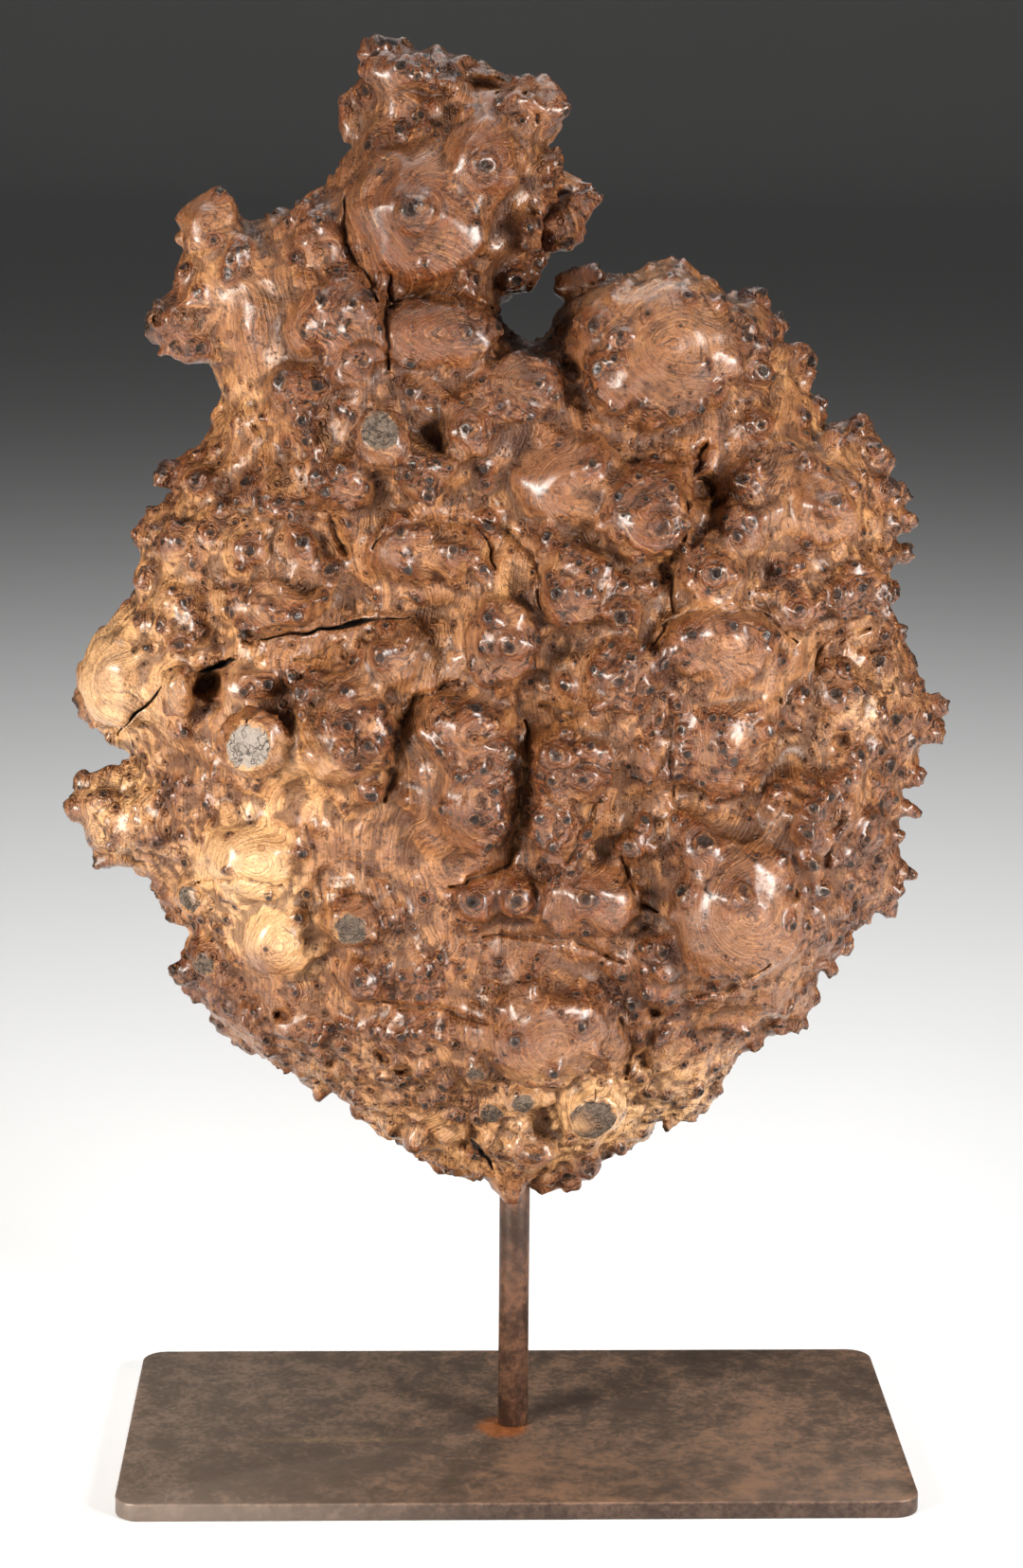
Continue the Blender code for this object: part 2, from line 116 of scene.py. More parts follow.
# Knobs with a dark eye in the tip: (x, z, radius).
EYED: list[Place3] = [
    (-66, 676, 6), (-50, 685, 7), (-40, 692, 5), (-28, 683, 4), (-66, 702, 6), (-50, 714, 6), (-42, 709, 5),
    (-62, 723, 7), (-53, 723, 5), (26, 693, 5), (10, 633, 5), (27, 668, 5), (14, 703, 3), (-14, 640, 3),
    (-132, 620, 7), (-124, 625, 5), (-134, 613, 5), (-142, 632, 4), (-160, 580, 5), (-148, 582, 5),
    (-80, 625, 4), (-83, 615, 4), (-88, 600, 7), (-75, 598, 6), (-67, 603, 5), (-97, 588, 6), (-70, 570, 6),
    (-108, 558, 7), (-100, 543, 7), (-98, 533, 5), (-17, 541, 8), (-80, 515, 6), (-87, 505, 6),
    (-43, 521, 6), (-37, 512, 5), (-38, 504, 5), (-10, 517, 5), (-8, 509, 4), (-110, 505, 4),
    (-119, 498, 4), (-104, 493, 4), (-128, 478, 7), (-100, 480, 7), (-87, 466, 6), (-46, 467, 6),
    (-51, 484, 6), (-24, 478, 6), (-8, 466, 5), (-103, 443, 6), (-118, 410, 6), (-77, 375, 6),
    (-66, 377, 6), (-71, 366, 5), (-90, 390, 5), (-78, 405, 5), (-60, 395, 5), (-65, 352, 7), (-60, 421, 6),
    (-73, 420, 5), (3, 428, 8), (-6, 441, 6), (-12, 395, 8), (-30, 375, 6), (1, 375, 8), (-20, 362, 5),
    (-5, 352, 5), (-13, 340, 5), (-5, 327, 5), (45, 375, 6), (30, 357, 6), (36, 337, 5), (30, 325, 5),
    (25, 317, 5), (58, 585, 6), (50, 570, 6), (58, 573, 5), (92, 605, 6), (82, 615, 4), (120, 596, 6),
    (127, 593, 5), (121, 583, 6), (130, 540, 7), (47, 523, 6), (62, 505, 6), (70, 512, 5), (85, 507, 6),
    (25, 480, 6), (30, 455, 7), (45, 455, 5), (40, 470, 5), (50, 467, 5), (63, 460, 5), (75, 460, 6),
    (107, 465, 8), (138, 468, 6), (152, 522, 5), (163, 522, 4), (172, 457, 7), (185, 459, 6), (194, 455, 5),
    (150, 448, 6), (98, 432, 6), (117, 436, 5), (133, 432, 6), (143, 422, 4), (58, 412, 7), (66, 421, 6),
    (78, 405, 6), (74, 397, 5), (48, 418, 5), (120, 370, 5), (125, 357, 5), (114, 352, 5), (95, 385, 6),
    (142, 388, 6), (93, 365, 6), (68, 327, 7), (73, 338, 5), (97, 300, 7), (8, 297, 8), (-13, 295, 8),
    (118, 485, 6), (126, 492, 4), (112, 494, 4), (190, 330, 6), (-95, 300, 4), (-40, 297, 4), (20, 262, 4),
    (60, 240, 4), (-30, 250, 4), (10, 220, 6), (42, 226, 5), (30, 205, 5), (-128, 625, 3), (104, 572, 3),
    (70, 596, 3), (18, 560, 5), (2, 552, 4), (-170, 440, 5), (-158, 448, 4),
]

# Knobs in wide rings: (x, z, radius).
RINGED: list[Place3] = [
    (-43, 645, 14), (-10, 670, 12), (77, 487, 12), (45, 590, 9), (30, 370, 9), (105, 325, 11),
    (168, 502, 9), (-172, 481, 5), (-160, 480, 5), (-152, 468, 5), (126, 300, 10), (46, 298, 9),
    (-71, 252, 9), (20, 160, 10), (-20, 586, 6),
]

# Knobs with a dark, ragged crust: (x, z, radius).
CRUSTY: list[Place3] = [
    (125, 568, 8), (152, 574, 8), (140, 590, 6), (127, 604, 6), (60, 445, 9), (120, 513, 8), (-127, 438, 8),
    (-150, 512, 8), (-163, 517, 6), (48, 152, 9), (36, 148, 6), (58, 157, 6), (5, 612, 8), (14, 622, 6),
    (12, 642, 5), (-98, 405, 7), (-104, 412, 5), (168, 352, 6), (160, 343, 6), (156, 330, 6), (160, 316, 6),
    (165, 300, 6), (184, 372, 6), (176, 362, 6), (-4, 590, 5), (-158, 258, 6), (-172, 300, 5),
    (178, 540, 6), (150, 545, 5), (-20, 180, 5), (-34, 188, 5), (-60, 200, 5), (-92, 214, 5),
    (-118, 222, 5), (-140, 238, 5), (78, 178, 5), (106, 192, 5), (128, 226, 5), (150, 240, 5), (60, 200, 4),
    (70, 240, 5), (90, 246, 5), (-50, 222, 5), (-80, 232, 5),
]

# Plain smooth bosses: (x, z, radius).
PLAIN: list[Place3] = [
    (-163, 404, 9), (170, 478, 5), (-130, 655, 5), (-172, 630, 4), (-108, 648, 4), (60, 600, 4),
    (-52, 503, 4), (14, 470, 4), (88, 452, 4), (130, 455, 4), (164, 430, 5), (8, 405, 4), (-38, 430, 4),
    (-46, 350, 5), (60, 345, 4), (84, 345, 4), (140, 330, 4), (-60, 305, 4), (-20, 272, 5), (70, 290, 4),
    (-92, 258, 4), (160, 265, 5), (100, 262, 4),
]

# Sawn stubs: (x, z, radius, how far it stands, what it faces, its tone).
STUBS: list[tuple[float, float, float, float, Place3, float]] = [
    (-58, 536, 10, 6, (-0.15, -1.0, 0.35), 0.55),
    (-126, 380, 12, 6, (-0.3, -1.0, 0.1), 0.9),
    (-75, 284, 9, 5, (-0.2, -1.0, -0.15), 0.35),
    (-150, 265, 7, 4, (-0.5, -1.0, -0.2), 0.5),
    (50, 183, 13, 8, (0.05, -1.0, -0.35), 0.2),
    (0, 184, 7, 4, (-0.1, -1.0, -0.5), 0.45),
    (15, 188, 6, 4, (0.0, -1.0, -0.3), 0.5),
    (-158, 298, 7, 3, (-0.6, -1.0, 0.0), 0.6),
    (-8, 204, 5, 3, (-0.2, -1.0, -0.3), 0.35),
]

# Horns: tip (x, z), length, radius at the root, radius at the tip, depth of the tip.
HORNS: list[tuple[float, ...]] = [
    (47, 656, 24, 10, 2.5, -8), (-76, 702, 12, 7, 3, 0), (-177, 592, 22, 11, 8, -6),
    (-174, 521, 26, 10, 4.5, -4), (-217, 394, 14, 10, 5, 0), (-216, 357, 24, 9, 4, 2),
    (-222, 343, 20, 10, 5, -4), (-191, 366, 12, 6, 3, 0), (-167, 252, 14, 8, 4, -2),
    (41, 136, 14, 7, 3, -4), (136, 215, 14, 6, 2.5, 0), (159, 224, 14, 7, 3, -2), (186, 267, 14, 6, 2.5, 2),
    (193, 281, 13, 6, 3, -2), (209, 299, 16, 6, 2.5, 0), (214, 310, 14, 5, 2, 4),
    (209, 328, 14, 6, 2.5, -2), (218, 341, 18, 6, 2.5, 0), (218, 361, 17, 6, 2.5, -3),
    (226, 382, 18, 7, 3, 0), (229, 397, 18, 7, 3, 3), (213, 421, 14, 6, 3, -2), (208, 436, 12, 6, 3, 2),
    (208, 477, 16, 7, 3.5, -4), (210, 495, 16, 6, 3, 0), (208, 509, 15, 6, 3, 4), (186, 544, 22, 9, 4, 0),
    (156, 571, 18, 8, 4, -4), (143, 595, 16, 7, 3.5, 0), (126, 609, 14, 7, 4, 0), (24, 624, 12, 7, 3, -4),
    (-62, 729, 10, 7, 4, 0), (170, 541, 12, 6, 3, 3), (163, 556, 12, 6, 3, -2), (47, 617, 10, 6, 3, 0),
    (-165, 507, 12, 6, 3, 4), (-187, 459, 12, 7, 4, 2), (-178, 298, 12, 6, 3, 0), (176, 256, 12, 6, 3, 0),
    (-206, 316, 12, 7, 3.5, -2), (199, 512, 20, 7, 3.5, -26), (196, 470, 20, 7, 3.5, -24),
    (190, 420, 18, 7, 3, -34), (200, 388, 20, 7, 3, -26), (204, 368, 18, 6, 3, -22),
    (196, 345, 18, 6, 3, -24), (195, 318, 18, 6, 3, -22), (180, 296, 16, 6, 3, -22),
    (172, 276, 16, 6, 3, -24),
]

# Grooves: points (x, z), half width, depth.
GROOVES: list[tuple[list[Place], float, float]] = [
    ([(-43, 404), (-50, 385), (-52, 368), (-57, 350)], 8.0, 6.2),
    ([(14, 388), (13, 360), (12, 338), (6, 315), (-9, 308), (-25, 302)], 3.6, 7.0),
    ([(50, 347), (42, 330), (35, 316)], 8.0, 3.6),
    ([(-62, 478), (-52, 490), (-38, 492), (-14, 489), (-5, 478), (-4, 468)], 3.0, 4.0),
    ([(78, 428), (86, 441), (104, 449), (130, 444), (152, 430)], 3.0, 4.0),
    ([(-62, 598), (-45, 604), (-25, 603), (-5, 598)], 4.0, 6.0),
    ([(-57, 612), (-58, 590), (-56, 566)], 3.2, 6.0),
    ([(-78, 652), (-76, 630), (-62, 602)], 4.0, 5.0),
    ([(-86, 496), (-82, 486), (-77, 477)], 7.0, 5.5),
    ([(62, 320), (66, 306), (72, 296), (82, 289)], 2.6, 5.0),
    ([(-154, 306), (-130, 309), (-110, 304)], 3.0, 4.0),
    ([(56, 396), (40, 392), (22, 396)], 4.0, 4.0),
    ([(-20, 412), (-32, 404), (-46, 402)], 4.0, 5.0),
    ([(92, 500), (96, 518), (104, 530)], 5.0, 6.0),
    ([(88, 448), (86, 470), (94, 484)], 3.6, 4.0),
    ([(-104, 420), (-92, 424), (-78, 432)], 3.6, 4.0),
    ([(20, 448), (18, 470), (8, 484), (-8, 492)], 4.0, 4.0),
    ([(160, 420), (168, 432), (188, 437)], 3.6, 4.0),
    ([(-6, 276), (20, 278), (50, 270), (66, 262)], 4.0, 4.5),
    ([(-100, 335), (-92, 318), (-90, 296)], 9.0, 2.0),
    ([(-60, 240), (-30, 238), (-4, 228)], 4.0, 4.5),
    ([(64, 232), (70, 214), (66, 200)], 4.5, 6.0),
    ([(86, 402), (88, 390), (84, 372), (90, 352)], 8.0, 2.4),
    ([(140, 262), (120, 248), (98, 246)], 4.0, 4.0),
]

# Open cracks: points (x, z), half width, depth.
CRACKS: list[tuple[list[Place], float, float]] = [
    ([(-124, 432), (-114, 434), (-100, 434), (-92, 437), (-80, 438), (-66, 441), (-54, 441), (-45, 443)],
     1.5, 9.0),
    ([(-152, 415), (-144, 418), (-133, 421)], 2.4, 8.0),
    ([(-194, 381), (-187, 390), (-179, 397), (-170, 408)], 1.2, 6.0),
    ([(-133, 386), (-126, 381), (-119, 377)], 0.9, 3.0),
    ([(-127, 390), (-126, 380), (-128, 371)], 0.8, 3.0),
    ([(43, 190), (50, 183), (57, 177)], 0.9, 3.0),
    ([(52, 194), (50, 183), (48, 171)], 0.9, 3.0),
    ([(-12, 168), (-6, 160), (-1, 150)], 1.6, 5.0),
]

# Pits and hollows: (x, z, half width, half height, depth).
PITS: list[tuple[float, ...]] = [
    (-148, 408, 9, 9, 15), (100, 508, 9, 10, 17), (108, 502, 6, 5, 9), (-125, 432, 4, 4, 9),
    (-92, 642, 3, 3, 4), (14, 703, 3, 3, 5), (17, 690, 2.5, 2.5, 4), (12, 644, 7, 3.5, 7),
    (-60, 213, 6, 5, 9), (-49, 205, 5, 5, 8), (-12, 168, 6, 10, 10), (82, 237, 4, 4, 8),
    (-121, 538, 2.5, 2.5, 4), (-78, 477, 4, 4, 7), (26, 683, 6, 4, 8), (-38, 702, 14, 4, 8),
    (-10, 705, 14, 4, 8), (-100, 412, 2.5, 2.5, 4), (-96, 399, 2, 2, 3), (172, 340, 5, 10, 8),
    (168, 318, 5, 8, 7), (176, 380, 5, 6, 6), (-172, 592, 4, 4, 5), (74, 210, 5, 6, 7), (-30, 570, 3, 2, 3),
    (60, 612, 3, 2, 3), (-136, 546, 4, 4, 4), (140, 402, 3, 2.5, 4), (52, 430, 3, 3, 4), (-2, 500, 3, 2, 3),
    (-112, 236, 5, 4, 6), (-86, 210, 4, 4, 6), (-128, 244, 6, 4, 5), (110, 250, 4, 3, 5),
    (152, 300, 4, 4, 5),
]

# Smooth skin with no pips: (x, z, half width, half height).
SMOOTH: list[Patch] = [
    (-43, 645, 34, 36), (-10, 668, 20, 20), (-122, 592, 28, 34), (80, 580, 36, 30), (32, 508, 24, 22),
    (168, 502, 22, 22), (145, 552, 16, 18), (-196, 412, 24, 26), (-130, 315, 24, 20), (-114, 270, 18, 22),
    (-38, 330, 22, 28), (124, 288, 34, 36), (46, 296, 24, 18), (28, 220, 26, 22), (125, 410, 22, 12),
    (-35, 586, 28, 14), (-60, 415, 8, 10), (0, 470, 10, 16), (-62, 690, 10, 30), (10, 520, 14, 22),
    (-100, 355, 22, 16), (-10, 640, 20, 24), (112, 440, 26, 10), (-148, 640, 14, 14), (28, 270, 30, 10),
]

# Pipped, ragged skin: (x, z, half width, half height).
PIPPED: list[Patch] = [
    (-115, 502, 26, 22), (-165, 485, 24, 26), (-60, 210, 80, 28), (60, 230, 40, 34), (170, 330, 30, 60),
    (196, 400, 24, 60), (30, 340, 18, 36), (-5, 350, 18, 40), (-98, 404, 16, 16), (-160, 270, 26, 30),
    (100, 380, 26, 26), (-20, 255, 60, 16), (180, 470, 30, 60), (110, 200, 50, 30), (-85, 625, 20, 16),
    (-90, 520, 26, 40), (-150, 440, 16, 30), (-175, 350, 30, 34), (140, 580, 26, 34), (-40, 716, 40, 16),
    (60, 170, 60, 24), (-70, 290, 26, 20), (80, 480, 22, 30), (65, 412, 22, 20), (-30, 490, 40, 16),
]

# Paler or darker wood: (x, z, half width, half height, tone from -1, dark, to 1, pale).
TONES: list[tuple[float, ...]] = [
    (-40, 610, 75, 65, -0.40), (70, 530, 70, 45, -0.40), (-140, 560, 50, 50, -0.25),
    (-200, 405, 34, 50, 0.55), (-205, 340, 34, 34, 0.35), (-132, 312, 34, 30, 0.85),
    (-114, 272, 26, 30, 0.85), (-150, 455, 34, 60, 0.35), (-100, 360, 40, 24, 0.35),
    (-40, 180, 90, 34, 0.45), (95, 190, 60, 24, 0.6), (185, 415, 34, 30, 0.35), (170, 380, 40, 40, 0.15),
    (60, 165, 60, 22, 0.45), (145, 552, 24, 26, 0.4), (190, 500, 30, 44, 0.3), (0, 465, 22, 30, 0.25),
    (-125, 585, 36, 44, 0.25), (60, 600, 60, 26, 0.2), (-130, 545, 30, 20, 0.35), (-43, 646, 40, 44, -0.35),
    (40, 290, 60, 34, -0.45), (-10, 350, 40, 60, -0.25), (40, 240, 60, 30, -0.25), (-40, 590, 60, 26, -0.3),
    (100, 370, 50, 50, -0.2), (-50, 716, 50, 20, -0.35), (10, 700, 40, 24, -0.3), (165, 325, 24, 50, -0.4),
    (-85, 235, 60, 22, -0.2), (0, 560, 60, 30, -0.15), (-140, 250, 34, 16, -0.9),
]


# ---------------------------------------------------------------------------
# Shader maths
# ---------------------------------------------------------------------------


def linear(red: int, green: int, blue: int) -> Colour:
    """Turn a screen colour into a linear one.

    Args:
        red: Red, 0 to 255.
        green: Green, 0 to 255.
        blue: Blue, 0 to 255.

    Returns:
        The three linear values.
    """
    shares = [channel / 255 for channel in (red, green, blue)]
    return tuple(s / 12.92 if s <= 0.04045 else ((s + 0.055) / 1.055) ** 2.4 for s in shares)


class Value:
    """A number that a node gives, with Python's operators on it."""

    def __init__(self, graph: "Graph", socket: bpy.types.NodeSocket) -> None:
        """Hold the socket and the graph that it is in."""
        self.graph = graph
        self.socket = socket

    def __add__(self, other: "Value | float") -> "Value":
        """Sum."""
        return self.graph.math("ADD", self, other)

    def __sub__(self, other: "Value | float") -> "Value":
        """Difference."""
        return self.graph.math("SUBTRACT", self, other)

    def __rsub__(self, other: float) -> "Value":
        """Difference from a number."""
        return self.graph.math("SUBTRACT", other, self)

    def __mul__(self, other: "Value | float") -> "Value":
        """Product."""
        return self.graph.math("MULTIPLY", self, other)

    def __neg__(self) -> "Value":
        """Negative."""
        return self.graph.math("MULTIPLY", self, -1.0)

    __radd__ = __add__
    __rmul__ = __mul__

    def abs(self) -> "Value":
        """Size without its sign."""
        return self.graph.math("ABSOLUTE", self, 0.0)

    def sine(self) -> "Value":
        """Sine of the value as an angle."""
        return self.graph.math("SINE", self, 0.0)

    def clamped(self) -> "Value":
        """The value held between 0 and 1."""
        return self.graph.math("MINIMUM", self.at_least(0.0), 1.0)

    def at_least(self, other: "Value | float") -> "Value":
        """The larger of two."""
        return self.graph.math("MAXIMUM", self, other)

    def step(self, low: float, high: float) -> "Value":
        """A soft step.

        Args:
            low: Where the result is 0.
            high: Where the result is 1. It may lie below low.

        Returns:
            A value from 0 to 1.
        """
        if low > high:
            return 1.0 - self.step(high, low)
        settings = {"interpolation_type": "SMOOTHSTEP", "clamp": True}
        node = self.graph.add("ShaderNodeMapRange", settings, {0: self, 1: low, 2: high})
        return Value(self.graph, node.outputs[0])


class Axis(Enum):
    """The object's axes that a finish changes along."""

    ACROSS = 0
    UP = 2


class Graph:
    """One material's nodes, added by short calls."""

    def __init__(self, name: str) -> None:
        """Start an empty material.

        Args:
            name: The material's name.
        """
        self.material = bpy.data.materials.new(name)
        self.material.use_nodes = True
        self.tree = self.material.node_tree
        self.tree.nodes.clear()

    def add(
        self, kind: str, settings: dict[str, object] | None = None,
        inputs: dict[int | str, object] | None = None,
    ) -> bpy.types.Node:
        """Add a node.

        Args:
            kind: The node's type.
            settings: Its settings by name.
            inputs: Values or links of its sockets, by name or number.

        Returns:
            The node.
        """
        node = self.tree.nodes.new(kind)
        for name, value in (settings or {}).items():
            setattr(node, name, value)
        for key, value in (inputs or {}).items():
            source = value.socket if isinstance(value, Value) else value
            if isinstance(source, bpy.types.NodeSocket):
                self.tree.links.new(source, node.inputs[key])
            elif isinstance(source, tuple) and len(source) == 3 and node.inputs[key].type == "RGBA":
                node.inputs[key].default_value = (*source, 1.0)
            else:
                node.inputs[key].default_value = source
        return node

    def math(self, operation: str, first: Value | float, second: Value | float) -> Value:
        """Add a Math node.

        Args:
            operation: Its operation.
            first: The first number.
            second: The second number.

        Returns:
            What it gives.
        """
        node = self.add("ShaderNodeMath", {"operation": operation}, {0: first, 1: second})
        return Value(self, node.outputs[0])

    def places(self) -> bpy.types.NodeSocket:
        """Places on the object, in metres."""
        return self.add("ShaderNodeTexCoord").outputs["Object"]

    def along(self, axis: Axis) -> Value:
        """Place along an axis of the object, in millimetres."""
        split = self.add("ShaderNodeSeparateXYZ", None, {0: self.places()})
        return Value(self, split.outputs[axis.value]) * PER_METRE

    def vector(self, operation: str, first: object, second: object) -> bpy.types.NodeSocket:
        """Add a Vector Math node.

        Args:
            operation: Its operation.
            first: The first vector or its socket.
            second: The second vector or its socket.

        Returns:
            The socket of what it gives.
        """
        return self.add("ShaderNodeVectorMath", {"operation": operation}, {0: first, 1: second}).outputs[0]

    def scaled(self, vector: bpy.types.NodeSocket, scale: Place3) -> bpy.types.NodeSocket:
        """A vector with each part multiplied."""
        return self.vector("MULTIPLY", vector, scale)

    def length(self, vector: bpy.types.NodeSocket) -> Value:
        """A vector's length."""
        node = self.add("ShaderNodeVectorMath", {"operation": "LENGTH"}, {0: vector})
        return Value(self, node.outputs["Value"])

    def stored(self, name: str) -> Value:
        """A number stored on the mesh."""
        return Value(self, self.add("ShaderNodeAttribute", {"attribute_name": name}).outputs["Fac"])

    def stored_vector(self, name: str) -> bpy.types.NodeSocket:
        """A vector stored on the mesh."""
        return self.add("ShaderNodeAttribute", {"attribute_name": name}).outputs["Vector"]

    def noise(
        self, vector: bpy.types.NodeSocket, scale: float, detail: float = 3.0, rough: float = 0.5,
        warp: float = 0.0,
    ) -> Value:
        """Cloudy noise.

        Args:
            vector: Where it is read.
            scale: Clouds to the metre, or to the vector's unit.
            detail: Finer layers.
            rough: Weight of the finer layers.
            warp: How far it is pulled about.

        Returns:
            A value around 0.5.
        """
        inputs = {
            "Vector": vector, "Scale": scale, "Detail": detail, "Roughness": rough, "Distortion": warp,
        }
        node = self.add("ShaderNodeTexNoise", {"noise_dimensions": "3D"}, inputs)
        return Value(self, node.outputs[0])

    def cells(self, vector: bpy.types.NodeSocket, scale: float, spread: float = 1.0) -> tuple[Value, Value]:
        """Scattered cells.

        Args:
            vector: Where they are read.
            scale: Cells to the metre.
            spread: How irregular they are, 0 to 1.

        Returns:
            Distance from the cell's middle, and a random value that is the same all over the cell.
        """
        inputs = {"Vector": vector, "Scale": scale, "Randomness": spread}
        node = self.add("ShaderNodeTexVoronoi", {"feature": "F1"}, inputs)
        split = self.add("ShaderNodeSeparateColor", None, {0: node.outputs["Color"]})
        return Value(self, node.outputs["Distance"]), Value(self, split.outputs[0])

    def mixed(self, share: Value | float, first: object, second: object) -> bpy.types.NodeSocket:
        """Mix two colours.

        Args:
            share: 0 for the first colour, 1 for the second.
            first: A colour or a socket.
            second: A colour or a socket.

        Returns:
            The mixed colour's socket.
        """
        node = self.add("ShaderNodeMix", {"data_type": "RGBA"}, {0: share, 6: first, 7: second})
        return node.outputs[2]

    def finish(
        self, colour: object, rough: Value | float, height: Value | None = None, depth: float = 1.0,
        metallic: Value | float = 0.0, coat: Value | float = 0.0, coat_rough: float = 0.2,
        specular: float = 0.5,
    ) -> bpy.types.Material:
        """Close the material with its shader.

        Args:
            colour: Base colour or its socket.
            rough: Roughness.
            height: Relief, in millimetres.
            depth: Strength of the relief.
            metallic: Metal, 0 to 1.
            coat: Weight of the clear coat.
            coat_rough: Roughness of the clear coat.
            specular: Specular level.

        Returns:
            The material.
        """
        inputs = {
            "Base Color": colour, "Roughness": rough, "Metallic": metallic, "Coat Weight": coat,
            "Coat Roughness": coat_rough, "Specular IOR Level": specular,
        }
        if height is not None:
            bump = self.add("ShaderNodeBump", None, {"Strength": depth, "Distance": MM, "Height": height})
            inputs["Normal"] = bump.outputs[0]
        shader = self.add("ShaderNodeBsdfPrincipled", None, inputs)
        self.add("ShaderNodeOutputMaterial", None, {"Surface": shader.outputs[0]})
        return self.material


# ---------------------------------------------------------------------------
# Finishes
# ---------------------------------------------------------------------------


class WoodMarks:
    """The burl's patterns: marks stored on its mesh, noise of each size, grain, pips, knobs and checks."""

    def __init__(self, graph: Graph) -> None:
        """Read the stored marks and the noises, and lay the patterns over them.

        Args:
            graph: The material's nodes.
        """
        self.graph = graph
        self.place = graph.places()
        self.knob_at = graph.stored_vector("knob_at")
        self.eye, self.sawn, self.tone = (graph.stored(name) for name in ("eye", "sawn", "tone"))
        self.hollow, self.crease = (graph.stored(name) for name in ("hollow", "crease"))
        self.crack, self.torn = (graph.stored(name) for name in ("crack", "torn"))
        self.broad = graph.noise(self.place, 17.0, 3.0, 0.5, 0.6)
        self.clouds = graph.noise(self.place, 46.0, 4.0, 0.6, 0.8)
        self.mottle = graph.noise(self.place, 130.0, 4.0, 0.65)
        self.grit = graph.noise(self.place, 480.0, 3.0, 0.65)
        self.fine = graph.noise(self.place, 1500.0, 2.0, 0.6)
        self.bend = graph.noise(self.place, 150.0, 3.0, 0.65)
        self.bend_other = graph.noise(self.place, 430.0, 2.0, 0.6)
        self.fibres = graph.noise(graph.scaled(self.place, (1.0, 1.0, 0.12)), 330.0, 4.0, 0.65)
        self.lay_grain()
        self.lay_pips()
        self.lay_knobs()
        self.lay_checks()

    def lay_grain(self) -> None:
        """Long streaks, coarse and fine, that keep to the lines of the stored grain."""
        grain = {0: self.graph.stored("grain") * PER_METRE, 1: self.mottle * 2.4, 2: self.clouds * 3.0}
        grain_at = self.graph.add("ShaderNodeCombineXYZ", None, grain).outputs[0]
        self.streaks = self.graph.noise(grain_at, 0.26, 4.0, 0.65)
        self.threads = self.graph.noise(grain_at, 0.72, 3.0, 0.65)

    def lay_pips(self) -> None:
        """Bosses of two sizes, each with a dark prick in the middle."""
        pipped = self.graph.stored("pipped")
        gap, kind = self.graph.cells(self.place, 190.0)
        here = (kind + pipped * 0.55 - 0.84).step(0.0, 0.14)
        self.pip_top = gap.step(0.55, 0.12) * here
        self.pip_prick = gap.step(0.24, 0.08) * here
        self.pip_ring = (gap - 0.36).abs().step(0.09, 0.0) * here
        gap, kind = self.graph.cells(self.place, 84.0)
        here = (kind + pipped * 0.42 - 0.85).step(0.0, 0.14) * (1.0 - self.eye * 0.6)
        self.big_top = (gap + (self.bend - 0.5) * 0.3).step(0.38, 0.10) * here
        self.big_prick = (gap + (self.bend_other - 0.5) * 0.15).step(0.14, 0.05) * here

    def lay_knobs(self) -> None:
        """On each knob a ragged prick, a broken pale ridge, a dark groove and fainter rings further out."""
        rho = self.graph.length(self.knob_at) + (self.bend - 0.5) * 1.0 + (self.bend_other - 0.5) * 0.45
        eye = self.eye
        broken = self.mottle.step(0.40, 0.58)
        self.rho = rho
        self.prick = rho.step(0.36, 0.14) * eye
        self.ridge = (rho - 0.46).abs().step(0.17, 0.0) * eye * broken
        self.groove = (rho - 0.72).abs().step(0.13, 0.0) * eye * (1.0 - broken * 0.6)
        self.rings = (rho * 15.0 + self.clouds * 9.0).sine() * rho.step(2.0, 0.6) * eye
        self.ragged = self.graph.noise(self.place, 430.0, 4.0, 0.8) * rho.step(1.0, 0.25) * eye
        self.near_knob = rho.step(1.9, 0.7) * eye

    def lay_checks(self) -> None:
        """Branching checks across the sawn faces."""
        g = self.graph
        knotted = g.vector("ADD", self.knob_at, g.scaled(self.place, (90.0, 90.0, 90.0)))
        wavy = g.add("ShaderNodeTexNoise", {"noise_dimensions": "3D"}, {"Vector": knotted, "Scale": 1.3})
        branching = {"Vector": g.vector("ADD", self.knob_at, wavy.outputs[1]), "Scale": 1.2}
        edges = g.add("ShaderNodeTexVoronoi", {"feature": "DISTANCE_TO_EDGE"}, branching)
        self.checks = Value(g, edges.outputs[0]).step(0.045, 0.012) * (self.mottle * 2.2 - 0.4).clamped()


